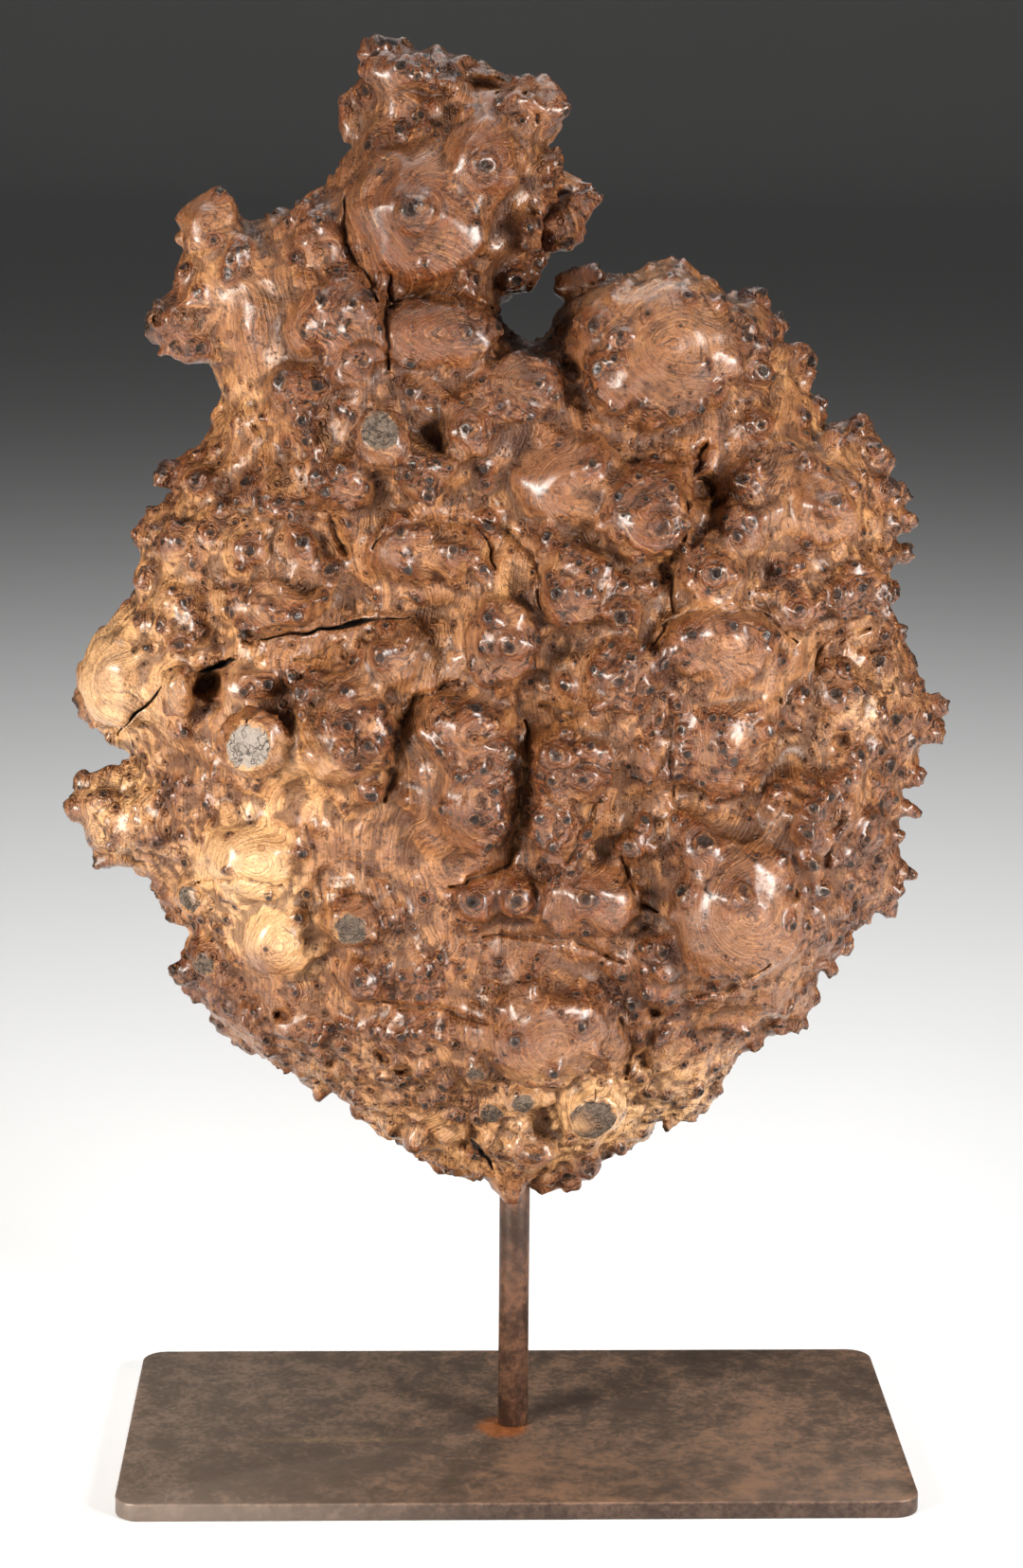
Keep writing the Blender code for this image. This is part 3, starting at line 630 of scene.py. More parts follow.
@dataclass(frozen=True)
class BurlWood:
    """Oiled burl wood: reddish knobs, brown and tan skin, grain round the swellings, pips, cracks and
    painted shade.
    """

    body: Colour = linear(138, 91, 54)
    ashen: Colour = linear(126, 91, 66)
    knob: Colour = linear(112, 60, 25)
    tan: Colour = linear(188, 137, 88)
    pale: Colour = linear(222, 178, 130)
    dark: Colour = linear(56, 29, 13)
    # painted shade for hollows and creases
    painted_shade_brown: Colour = linear(64, 31, 12)
    crust: Colour = linear(26, 16, 11)
    sawn: Colour = linear(104, 88, 74)
    silvery: Colour = linear(152, 142, 132)
    torn: Colour = linear(122, 92, 66)
    # painted shade inside the open cracks
    painted_crack_shade: Colour = linear(20, 12, 9)

    def material(self) -> bpy.types.Material:
        """Build the material: skin, torn back, crusted pricks, sawn faces and open cracks painted
        near-black as shade.

        Returns:
            The wood.
        """
        g = Graph("burl_wood")
        m = WoodMarks(g)
        colour = g.mixed(m.torn * 0.9, self.skin_colour(m), self.torn_colour(m))
        dark = (m.prick * 0.92 + m.groove * 0.55 + m.pip_prick * 0.9 + m.big_prick * 0.92).clamped()
        dark = dark.at_least(m.ragged.step(0.34, 0.52) * 0.85)
        specks = (m.grit + m.mottle * 0.5).step(0.69, 0.58) * 0.62
        dark = dark.at_least(specks * (1.0 - m.tone.clamped() * 0.6))
        colour = g.mixed(dark * (1.0 - m.sawn), colour, self.crust)
        colour = g.mixed(m.sawn, colour, self.sawn_colour(m))
        # Painted shade: the inside of each open crack is painted near-black.
        open_crack = m.crack.step(1.9, 1.1)
        colour = g.mixed(open_crack * 0.93, colour, self.painted_crack_shade)
        dull = dark * 0.85 + m.sawn * 0.8 + m.torn * 0.75 + open_crack + m.hollow.clamped() * 0.25
        dull = dull.clamped()
        polish = (-m.crease).step(0.0, 0.7)
        rough = 0.37 + (m.grit - 0.5) * 0.30 + (m.mottle - 0.5) * 0.25 + dull * 0.35 - polish * 0.10
        coat = 0.54 - dull * 0.70 - m.hollow * 0.25 + polish * 0.35
        coat += (m.clouds - 0.5) * 1.2 + (m.grit - 0.5) * 0.8
        coat = coat.clamped() * (1.0 - m.sawn) * 0.85
        return g.finish(colour, rough, self.relief(m), coat=coat, coat_rough=0.31)

    def skin_colour(self, m: WoodMarks) -> bpy.types.NodeSocket:
        """Brown to ashen, tan and pale where the tone says, reddish on knobs, painted shade in hollows and
        creases.

        Args:
            m: The burl's patterns.

        Returns:
            The colour's socket.
        """
        g, hollow, tone = m.graph, m.hollow, m.tone
        clouds, mottle, grit = m.clouds - 0.5, m.mottle - 0.5, m.grit - 0.5
        colour = g.mixed((m.broad + mottle * 0.6).step(0.44, 0.62) * 0.5, self.body, self.ashen)
        tanned = hollow * 0.25 + tone * 0.75 + clouds * 2.8 + mottle + grit * 0.5 + 0.24
        colour = g.mixed(tanned.clamped() * 0.85, colour, self.tan)
        paled = tone * 1.2 - 0.26 + clouds * 1.4 + grit * 0.8
        colour = g.mixed(paled.clamped() * 0.85, colour, self.pale)
        red = m.near_knob * 0.95 - hollow * 0.45 + clouds * 1.6 + mottle - tone * 0.5 + 0.04
        colour = g.mixed(red.clamped() * 0.88, colour, self.knob)
        stained = m.near_knob * 0.25 - clouds * 2.8 - mottle * 1.5 - grit * 0.9 - tone * 0.6 - 0.20
        colour = g.mixed((stained + (m.fine - 0.5) * 1.4).clamped() * 0.66, colour, self.dark)
        colour = g.mixed(m.threads.step(0.52, 0.32) * 0.68, colour, self.dark)
        colour = g.mixed(m.threads.step(0.52, 0.70) * 0.52, colour, self.tan)
        colour = g.mixed(m.streaks.step(0.44, 0.27) * 0.50, colour, self.dark)
        colour = g.mixed(m.big_top * 0.55, colour, self.knob)
        colour = g.mixed(m.pip_top * 0.50, colour, self.knob)
        colour = g.mixed(m.ridge * 0.34, colour, self.tan)
        # Painted shade: hollows darken a little and fine creases strongly towards a deep brown, where shade
        # falls.
        painted_shade_mask = (hollow + mottle * 0.5).step(0.35, 1.2) * 0.20
        painted_shade_mask = painted_shade_mask.at_least((m.crease + grit * 0.4).step(0.15, 0.90) * 0.70)
        return g.mixed(painted_shade_mask, colour, self.painted_shade_brown)

    def torn_colour(self, m: WoodMarks) -> bpy.types.NodeSocket:
        """The torn back: brown fibres with dark gaps, ashen in broad clouds."""
        colour = m.graph.mixed(m.fibres.step(0.35, 0.65), self.dark, self.torn)
        return m.graph.mixed(m.broad.step(0.40, 0.62) * 0.6, colour, self.ashen)

    def sawn_colour(self, m: WoodMarks) -> bpy.types.NodeSocket:
        """Sawn faces: grey, with branching checks, faint rings and a pale rim.

        Args:
            m: The burl's patterns.

        Returns:
            The colour's socket.
        """
        g = m.graph
        colour = g.mixed(m.mottle.step(0.35, 0.65), g.mixed(0.35, self.sawn, self.crust), self.sawn)
        colour = g.mixed((m.rho * 26.0).sine().step(0.2, 0.9) * 0.3, colour, self.dark)
        colour = g.mixed(m.tone.step(0.5, 1.0) * 0.9, colour, self.silvery)
        colour = g.mixed(m.grit.step(0.44, 0.30) * 0.40, colour, self.sawn)
        colour = g.mixed(m.checks.clamped() * 0.9, colour, self.crust)
        return g.mixed(m.rho.step(0.86, 1.0) * 0.75, colour, self.tan)

    def relief(self, m: WoodMarks) -> Value:
        """The fine relief: grain, pips, knobs, checks and torn fibres.

        Args:
            m: The burl's patterns.

        Returns:
            A height in millimetres.
        """
        return (
            m.streaks * 1.1 + m.threads * 1.2 + m.grit * 1.2 + m.fine * 0.35 + m.mottle * 1.1
            + m.pip_top * 0.9 - m.pip_prick * 1.4 + m.pip_ring * 0.7 + m.big_top * 1.4 - m.big_prick * 1.8
            + m.ridge * 0.9 - m.groove * 0.9 - m.prick * 1.4 + m.rings * 0.10 + m.ragged * 1.9
            - m.checks * m.sawn * 0.9 + m.fibres * m.torn * 1.4
        )


@dataclass(frozen=True)
class StainOrSheen:
    """One soft oval stain or painted sheen: its middle, how it is squeezed, and its size in millimetres."""

    middle: Place3
    squeeze: Place3
    wander: float
    edge: float
    full: float
    share: float
    colour: Colour


@dataclass(frozen=True)
class RustedSteel:
    """Steel with a brown rust patina: mottled, darker in clouds, orange in spots, with its own stains and
    painted sheen; on the plate, painted shade on the sides.
    """

    name: str
    dark: Colour
    brown: Colour
    orange: Colour
    stains: tuple[StainOrSheen, ...] = ()
    shade_sides_below: float = 0.0
    # painted sheen for the plate's left
    painted_left_sheen: Colour = linear(130, 117, 107)
    # painted shade on the plate's sides
    side: Colour = linear(60, 47, 42)
    edge: Colour = linear(124, 97, 82)

    def material(self) -> bpy.types.Material:
        """Build the material.

        Returns:
            The steel.
        """
        g = Graph(self.name)
        p = g.places()
        clouds = g.noise(p, 12.0, 5.0, 0.6, 0.4)
        patches = g.noise(p, 62.0, 6.0, 0.68, 0.3)
        specks = g.noise(p, 330.0, 4.0, 0.7)
        grit = g.noise(p, 900.0, 3.0, 0.6)
        colour = g.mixed((clouds * 0.6 + patches * 0.7 - 0.15).step(0.30, 0.68), self.dark, self.brown)
        rusty = (patches * 0.8 + clouds * 0.5 + specks * 0.6 - 0.66).step(0.20, 0.52)
        colour = g.mixed(rusty * 0.55, colour, self.orange)
        colour = g.mixed((specks - 0.62).step(0.0, 0.12) * 0.5, colour, self.orange)
        colour = g.mixed((grit - 0.60).step(0.0, 0.14) * 0.30, colour, self.edge)
        burnt = (patches - 0.58).step(0.12, 0.0) * (specks - 0.55).step(0.0, 0.2)
        colour = g.mixed(burnt * 0.4, colour, self.dark)
        # Painted shade: below the top face the plate's sides are painted darker, broken by specks; a broken
        # lighter line runs along the top edge.
        if self.shade_sides_below:
            height = g.along(Axis.UP)
            side = height.step(self.shade_sides_below, self.shade_sides_below - 0.8)
            colour = g.mixed(side * (1.25 - specks * 0.9).clamped(), colour, self.side)
            rim = (height - self.shade_sides_below + 0.5).abs().step(0.9, 0.2)
            colour = g.mixed(rim * (specks * 1.6 - 0.5).clamped(), colour, self.edge)
            # Painted sheen: the plate is painted lighter and greyer towards its left, for the light from
            # that side.
            colour = g.mixed(g.along(Axis.ACROSS).step(30.0, -170.0) * 0.62, colour, self.painted_left_sheen)
        # stains, and on the plate a painted sheen streak
        for stain in self.stains:
            off = g.scaled(g.vector("SUBTRACT", p, stain.middle), stain.squeeze)
            away = g.length(off) * PER_METRE + (patches - 0.5) * stain.wander
            colour = g.mixed(away.step(stain.edge, stain.full) * stain.share, colour, stain.colour)
        relief = patches * 0.10 + specks * 0.09 + grit * 0.05
        rough = 0.46 + (specks - 0.5) * 0.3 + rusty * 0.16 - clouds * 0.10
        return g.finish(colour, rough, relief, 0.8, metallic=0.35 - rusty * 0.3, specular=0.45)


@dataclass(frozen=True)
class ScrewSteel:
    """Dull zinc-grey steel with fine turned rings."""

    bright: Colour = linear(128, 124, 118)
    stained: Colour = linear(86, 78, 70)

    def material(self) -> bpy.types.Material:
        """Build the material.

        Returns:
            The screw's steel.
        """
        g = Graph("screw_steel")
        p = g.places()
        stains = g.noise(p, 260.0, 4.0, 0.6)
        grit = g.noise(p, 1500.0, 2.0)
        off = g.vector("SUBTRACT", p, (POST_X, 0.0, 0.0))
        rings = (g.length(g.scaled(off, (1.0, 1.0, 0.0))) * 9000.0).sine()
        colour = g.mixed(stains.step(0.35, 0.7), self.bright, self.stained)
        return g.finish(colour, 0.34 + stains * 0.2, rings * 0.02 + grit * 0.03, 0.8, metallic=0.85)


@dataclass(frozen=True)
class PaleFloor:
    """A pale matt sheet."""

    tone: Colour = linear(247, 248, 249)

    def material(self) -> bpy.types.Material:
        """Build the material.

        Returns:
            The floor's finish.
        """
        g = Graph("pale_floor")
        soft = g.noise(g.places(), 3.0, 2.0)
        colour = g.mixed(soft, self.tone, tuple(0.97 * c for c in self.tone))
        return g.finish(colour, 0.55, specular=0.3)


# ---------------------------------------------------------------------------
# Meshes and skins
# ---------------------------------------------------------------------------


def only(obj: bpy.types.Object) -> None:
    """Select one object alone and make it active.

    Args:
        obj: The object.
    """
    bpy.ops.object.select_all(action="DESELECT")
    obj.select_set(True)
    bpy.context.view_layer.objects.active = obj


def applied(obj: bpy.types.Object, kind: str, settings: dict[str, object]) -> None:
    """Add a modifier and apply it.

    Args:
        obj: The object.
        kind: The modifier's type.
        settings: The modifier's settings by name.
    """
    only(obj)
    modifier = obj.modifiers.new(kind.lower(), kind)
    for name, value in settings.items():
        setattr(modifier, name, value)
    bpy.ops.object.modifier_apply(modifier=modifier.name)


def merged_copy(node: bpy.types.Object, name: str) -> bpy.types.Object:
    """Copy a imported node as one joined-up mesh.

    Args:
        node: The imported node.
        name: The copy's name.

    Returns:
        The copy, with no material.
    """
    copy = linked(name, node.data.copy())
    copy.data.materials.clear()
    only(copy)
    bpy.ops.object.mode_set(mode="EDIT")
    bpy.ops.mesh.select_all(action="SELECT")
    bpy.ops.mesh.remove_doubles(threshold=0.002 * MM)
    bpy.ops.object.mode_set(mode="OBJECT")
    return copy


def linked(name: str, mesh: bpy.types.Mesh) -> bpy.types.Object:
    """Put a mesh in the scene as an object.

    Args:
        name: The object's name.
        mesh: Its mesh.

    Returns:
        The object.
    """
    obj = bpy.data.objects.new(name, mesh)
    bpy.context.scene.collection.objects.link(obj)
    return obj


def array_of(
    collection: bpy.types.bpy_prop_collection, name: str, width: int, kind: type = np.float32
) -> Points:
    """Read one property of each item as an array.

    Args:
        collection: The mesh's vertices, edges or polygons.
        name: The property.
        width: How many numbers each item has.
        kind: The numbers' type.

    Returns:
        One row for each item.
    """
    flat = np.empty(len(collection) * width, kind)
    collection.foreach_get(name, flat)
    return flat.reshape(-1, width) if width > 1 else flat


def store(mesh: bpy.types.Mesh, name: str, values: Points) -> None:
    """Store a number or a vector on each vertex.

    Args:
        mesh: The mesh.
        name: The attribute's name.
        values: One row for each vertex.
    """
    vector = values.ndim == 2
    attribute = mesh.attributes.new(name, "FLOAT_VECTOR" if vector else "FLOAT", "POINT")
    attribute.data.foreach_set("vector" if vector else "value", values.astype(np.float32).ravel())


def soft_step(values: Points, low: float, high: float) -> Points:
    """Go softly from 0 at low to 1 at high, which may lie below low."""
    share = np.clip((values - low) / (high - low), 0, 1)
    return share * share * (3 - 2 * share)


def unit(vector: Points) -> Points:
    """A vector drawn in to length 1."""
    return vector / np.linalg.norm(vector)


def scrambled(cells: Points, seed: int) -> Points:
    """Random numbers that are the same on each run.

    Args:
        cells: Rows of three whole numbers.
        seed: Picks one pattern.

    Returns:
        A number from 0 to 1 for each row.
    """
    i, j, k = cells.T
    mixed = (i * 73856093) ^ (j * 19349663) ^ (k * 83492791) ^ (seed * 2654435761)
    mixed = ((mixed & 0xFFFFFFFF) * 1103515245 + 12345) & 0x7FFFFFFF
    mixed = ((mixed >> 13) * 1597334677) & 0x7FFFFFFF
    return (mixed >> 8 & 0xFFFF) / 65535


def cloudy(places: Points, size: float, seed: int) -> Points:
    """Smooth random values, the same on each run.

    Args:
        places: Where they are read.
        size: Width of a cloud, in metres.
        seed: Picks one pattern.

    Returns:
        A value from -1 to 1 for each place.
    """
    q = places / size + 37.7 * seed
    cell = np.floor(q).astype(np.int64)
    f = q - cell
    f = f * f * f * (f * (f * 6 - 15) + 10)
    total = np.zeros(len(q))
    for corner in np.ndindex(2, 2, 2):
        weight = np.ones(len(q))
        for n in range(3):
            weight = weight * (f[:, n] if corner[n] else 1 - f[:, n])
        total += weight * (2 * scrambled(cell + corner, seed) - 1)
    return total


def cloudy_pull(places: Points, size: float, seed: int, width: int = 3) -> Points:
    """Smooth random vectors: cloudy values from as many patterns as a vector has parts.

    Args:
        places: Where they are read.
        size: Width of a cloud, in metres.
        seed: Picks the first pattern.
        width: How many parts each vector has.

    Returns:
        A vector for each place, each part from -1 to 1.
    """
    return np.stack([cloudy(places, size, seed + part) for part in range(width)], axis=1)


def lumpy(places: Points, size: float, seed: int) -> tuple[Points, Points]:
    """Rounded lumps with creases between them.

    Args:
        places: Where they are read.
        size: Width of a lump, in metres.
        seed: Picks one pattern.

    Returns:
        For each place 0 in a crease to 1 on a lump's top, and the lump's own random number, 0 to 1.
    """
    q = places / size + 19.3 * seed
    cell = np.floor(q).astype(np.int64)
    first = np.full(len(q), BEYOND)
    second = first.copy()
    number = np.zeros(len(q))
    for corner in np.ndindex(3, 3, 3):
        spot = cell + corner - 1
        shift = np.stack([scrambled(spot, 7 * seed + n) for n in range(3)], axis=1)
        away = np.linalg.norm(q - spot - 0.06 - 0.88 * shift, axis=1)
        closer = away < first
        second = np.where(closer, first, np.minimum(second, away))
        number = np.where(closer, shift[:, 0], number)
        first = np.minimum(first, away)
    return (second - first) / (second + first), number


def oval_distance(flat: Points, x: float, z: float, wide: float, high: float) -> Points:
    """Distance of each layout place from the middle of an oval, as a share of its size."""
    return np.hypot((flat[:, 0] - x) / wide, (flat[:, 1] - z) / high)


def patch_share(flat: Points, patch: Patch, edge: float = 0.35) -> Points:
    """How much of an oval patch covers each place of the layout.

    Args:
        flat: Layout places, in millimetres.
        patch: The patch's middle across and up, half its width and half its height.
        edge: Softness of its edge, as a share of its size.

    Returns:
        0 outside to 1 inside.
    """
    return soft_step(oval_distance(flat, *patch), 1 + edge, 1 - edge)


def line_distance(flat: Points, line: list[Place]) -> Points:
    """Measure how far places are from a bent line.

    Args:
        flat: Layout places.
        line: The line's points.

    Returns:
        The distance of each place, in millimetres.
    """
    nearest = np.full(len(flat), FAR)
    for start, end in zip(np.array(line[:-1], float), np.array(line[1:], float)):
        along = end - start
        share = np.clip((flat - start) @ along / (along @ along), 0, 1)
        nearest = np.minimum(nearest, np.linalg.norm(flat - start - share[:, None] * along, axis=1))
    return nearest


@dataclass
class Skin:
    """A mesh's vertices as arrays, for shaping by numbers."""

    obj: bpy.types.Object
    places: Points = field(init=False)
    normals: Points = field(init=False)
    edges: Points = field(init=False)

    def __post_init__(self) -> None:
        """Read the mesh."""
        self.edges = array_of(self.obj.data.edges, "vertices", 2, np.int32)
        self.places = array_of(self.obj.data.vertices, "co", 3).astype(float)
        self.read_normals()

    def read_normals(self) -> None:
        """Read the normals that the mesh has now."""
        self.normals = array_of(self.obj.data.vertices, "normal", 3).astype(float)

    def write(self) -> None:
        """Write the places to the mesh and read its new normals."""
        self.obj.data.vertices.foreach_set("co", self.places.astype(np.float32).ravel())
        self.obj.data.update()
        self.read_normals()

    def lift(self, height: Points) -> None:
        """Move each vertex straight out by its height, in millimetres."""
        self.places = self.places + self.normals * height[:, None] * MM
        self.write()

    def sunk(self, rounds: int, share: float = 0.5) -> Points:
        """How far each vertex lies below the evened skin, in metres.

        Args:
            rounds: How often the skin is evened.
            share: How far each vertex goes to its neighbours' mean.

        Returns:
            A depth for each vertex, below 0 where it stands proud.
        """
        return ((self.smoothed(self.places, rounds, share) - self.places) * self.normals).sum(axis=1)

    def smoothed(self, values: Points, rounds: int, share: float = 0.5) -> Points:
        """Even out values over neighbouring vertices.

        Args:
            values: One row for each vertex.
            rounds: How often.
            share: How far each goes to its neighbours' mean.

        Returns:
            The evened values.
        """
        one, other = self.edges.T
        count = len(self.places)
        degree = np.bincount(one, minlength=count) + np.bincount(other, minlength=count)
        rows = values.reshape(count, -1).astype(float)
        for _ in range(rounds):
            sums = [
                np.bincount(one, column[other], count) + np.bincount(other, column[one], count)
                for column in rows.T
            ]
            rows = rows + share * (np.stack(sums, axis=1) / degree[:, None] - rows)
        return rows.reshape(values.shape)

    def smooth(self, rounds: int, share: float = 0.5) -> None:
        """Even out the places themselves."""
        self.places = self.smoothed(self.places, rounds, share)
        self.write()

    def layout(self) -> Points:
        """Find where each vertex is seen on the layout plane.

        Returns:
            Layout places, in millimetres.
        """
        eye = np.array(EYE)
        share = eye[1] / (eye[1] - self.places[:, 1])
        seen = eye + (self.places - eye) * share[:, None]
        return (seen[:, (0, 2)] - (LAYOUT_X, 0)) / MM

    def frontness(self) -> Points:
        """1 on the front, 0 on the back."""
        return soft_step(self.places[:, 1] / MM, 24, 2)

    def backness(self, aslant: float, square: float) -> Points:
        """How much each vertex belongs to the torn back.

        Args:
            aslant: How far back a normal points, from 0 to 1, where the back begins.
            square: How far back it points where the back is full.

        Returns:
            0 on the front and the rim to 1 on the back.
        """
        return soft_step(self.places[:, 1] / MM, 26, 42) * soft_step(self.normals[:, 1], aslant, square)

    def finder(self) -> KDTree:
        """Sort the vertices as they lie now, so that those near a place are quickly found.

        Returns:
            The sorted tree.
        """
        tree = KDTree(len(self.places))
        for index, place in enumerate(self.places):
            tree.insert(place, index)
        tree.balance()
        return tree

    def cover(self, patches: list[Patch]) -> Points:
        """How much patches cover each vertex of the front.

        Args:
            patches: A list of oval patches of the layout.

        Returns:
            0 outside all of them to 1 inside one.
        """
        flat = self.layout()
        shares = [patch_share(flat, patch) for patch in patches]
        return np.max(shares, axis=0) * self.frontness()

    def refine(self, chosen: Points) -> "Skin":
        """Halve the edges between chosen vertices.

        Args:
            chosen: True for each vertex where the mesh is made finer.

        Returns:
            The finer skin.
        """
        only(self.obj)
        bpy.ops.object.mode_set(mode="EDIT")
        bpy.ops.mesh.select_mode(type="VERT")
        bpy.ops.mesh.select_all(action="DESELECT")
        bpy.ops.object.mode_set(mode="OBJECT")
        mesh = self.obj.data
        edges = chosen[self.edges].all(axis=1)
        mesh.vertices.foreach_set("select", chosen)
        mesh.edges.foreach_set("select", edges)
        bpy.ops.object.mode_set(mode="EDIT")
        bpy.ops.mesh.select_mode(type="EDGE")
        bpy.ops.mesh.subdivide(number_cuts=1)
        bpy.ops.mesh.select_all(action="SELECT")
        bpy.ops.mesh.quads_convert_to_tris()
        bpy.ops.object.mode_set(mode="OBJECT")
        return Skin(self.obj)


@dataclass
class Clay:
    """Balls, horns and stubs, gathered as loose shapes until they are fused."""

    places: list[Points] = field(default_factory=list)
    faces: list[Points] = field(default_factory=list)
    count: int = 0

    def __post_init__(self) -> None:
        """Model the shapes that are copied: a fine ball, a small ball and a rod."""
        ball = bpy.ops.mesh.primitive_ico_sphere_add
        self.fine_ball = self.taken(lambda: ball(subdivisions=4, radius=1))
        self.small_ball = self.taken(lambda: ball(subdivisions=3, radius=1))
        self.rod = self.taken(self.make_rod)

    @staticmethod
    def make_rod() -> None:
        """A short sawn rod: its rim is rounded and its face lies a little proud in the middle."""
        bpy.ops.mesh.primitive_cylinder_add(vertices=28, radius=1, depth=2)
        bpy.ops.object.mode_set(mode="EDIT")
        bpy.ops.mesh.select_all(action="SELECT")
        bpy.ops.mesh.bevel(offset=0.12, segments=2)
        bpy.ops.mesh.quads_convert_to_tris()
        bpy.ops.object.mode_set(mode="OBJECT")

    @staticmethod
    def taken(make: Callable[[], object]) -> Shape:
        """Model a shape, read it and take it away again.

        Args:
            make: Adds the shape as the active object.

        Returns:
            Its places and its triangles.
        """
        bpy.ops.object.select_all(action="DESELECT")
        make()
        obj = bpy.context.view_layer.objects.active
        mesh = obj.data
        mesh.calc_loop_triangles()
        places = array_of(mesh.vertices, "co", 3).astype(float)
        faces = array_of(mesh.loop_triangles, "vertices", 3, np.int32)
        bpy.data.objects.remove(obj)
        bpy.data.meshes.remove(mesh)
        return places, faces

    def add(self, shape: Shape, middle: Points, axes: Points, sizes: Points) -> None:
        """Place a copy of a shape.

        Args:
            shape: Its places and triangles.
            middle: Where its middle goes.
            axes: Its three axes, as rows.
            sizes: Its size along each axis.
        """
        places, faces = shape
        self.places.append(middle + (places * sizes) @ axes)
        self.faces.append(faces + self.count)
        self.count += len(places)

    def made(self, name: str) -> bpy.types.Object:
        """Turn what was gathered into an object.

        Args:
            name: The object's name.

        Returns:
            The object.
        """
        mesh = bpy.data.meshes.new(name)
        mesh.from_pydata(np.concatenate(self.places), [], np.concatenate(self.faces))
        return linked(name, mesh)


def axes_of(normal: Points) -> Points:
    """Axes for a feature: level to the right, up the slope, and straight out.

    Args:
        normal: Straight out.

    Returns:
        The three unit axes, as rows.
    """
    out = unit(normal)
    right = np.cross((0.0, 0.0, 1.0), out)
    right = unit(right) if np.linalg.norm(right) > 1e-3 else np.array((1.0, 0.0, 0.0))
    return np.stack([right, np.cross(out, right), out])


def sideways(axes: Points, angle: float) -> Points:
    """Straight to one side of a feature with these axes, at this angle round it."""
    return axes[0] * math.cos(angle) + axes[1] * math.sin(angle)


def on_plane(x: float, z: float) -> Vector:
    """The point of the layout plane at a layout place in millimetres."""
    return Vector((x * MM + LAYOUT_X, 0.0, z * MM))


class SightLines:
    """Finds places on the front along the lines of sight, and their normals."""

    def __init__(self, obj: bpy.types.Object) -> None:
        """Take the surface as it is now."""
        self.tree = BVHTree.FromObject(obj, bpy.context.evaluated_depsgraph_get())

    def hit(self, x: float, z: float) -> tuple[Points, Points] | None:
        """One line of sight.

        Args:
            x: Layout place across, in millimetres.
            z: Layout place up, in millimetres.

        Returns:
            The place on the surface and its normal, or None if the line misses.
        """
        place, normal, _, _ = self.tree.ray_cast(EYE, (on_plane(x, z) - EYE).normalized())
        return None if place is None else (np.array(place), np.array(normal))

    def at(self, x: float, z: float, spread: float) -> tuple[Points, Points]:
        """A place on the front with the mean normal around it.

        Args:
            x: Layout place across, in millimetres.
            z: Layout place up, in millimetres.
            spread: How far round it the normal is read, in millimetres.

        Returns:
            The place and the normal.
        """
        found = self.hit(x, z)
        if found is None:
            near, normal, _, _ = self.tree.find_nearest(on_plane(x, z))
            found = np.array(near), np.array(normal)
        around = [self.hit(x + spread * math.cos(a), z + spread * math.sin(a)) for a in range(6)]
        normals = [found[1], *(seen[1] for seen in around if seen is not None)]
        return found[0], unit(np.sum(normals, axis=0) + (0.0, -0.25, 0.0))


# ---------------------------------------------------------------------------
# The burl
# ---------------------------------------------------------------------------


class Knob(Enum):
    """Kinds of knob: how high it stands, and how strong its eye is."""

    EYED = (0.62, 1.0)
    RINGED = (0.42, 0.9)
    CRUSTY = (0.68, 1.0)
    PLAIN = (0.50, 0.15)

    def __init__(self, stand: float, eye: float) -> None:
        """Name the two numbers."""
        self.stand = stand
        self.eye = eye


@dataclass(frozen=True)
class Tip:
    """The tip of a knob, horn or stub, which later cuts and colours are centred on."""

    place: Points
    out: Points
    radius: float
    eye: float
    sawn: float = 0.0
    tone: float = 0.0

    def near(self, tree: KDTree, reach: float) -> Points:
        """The numbers of the vertices within so many radii of the tip."""
        return np.array([found[1] for found in tree.find_range(self.place, reach * self.radius)], int)


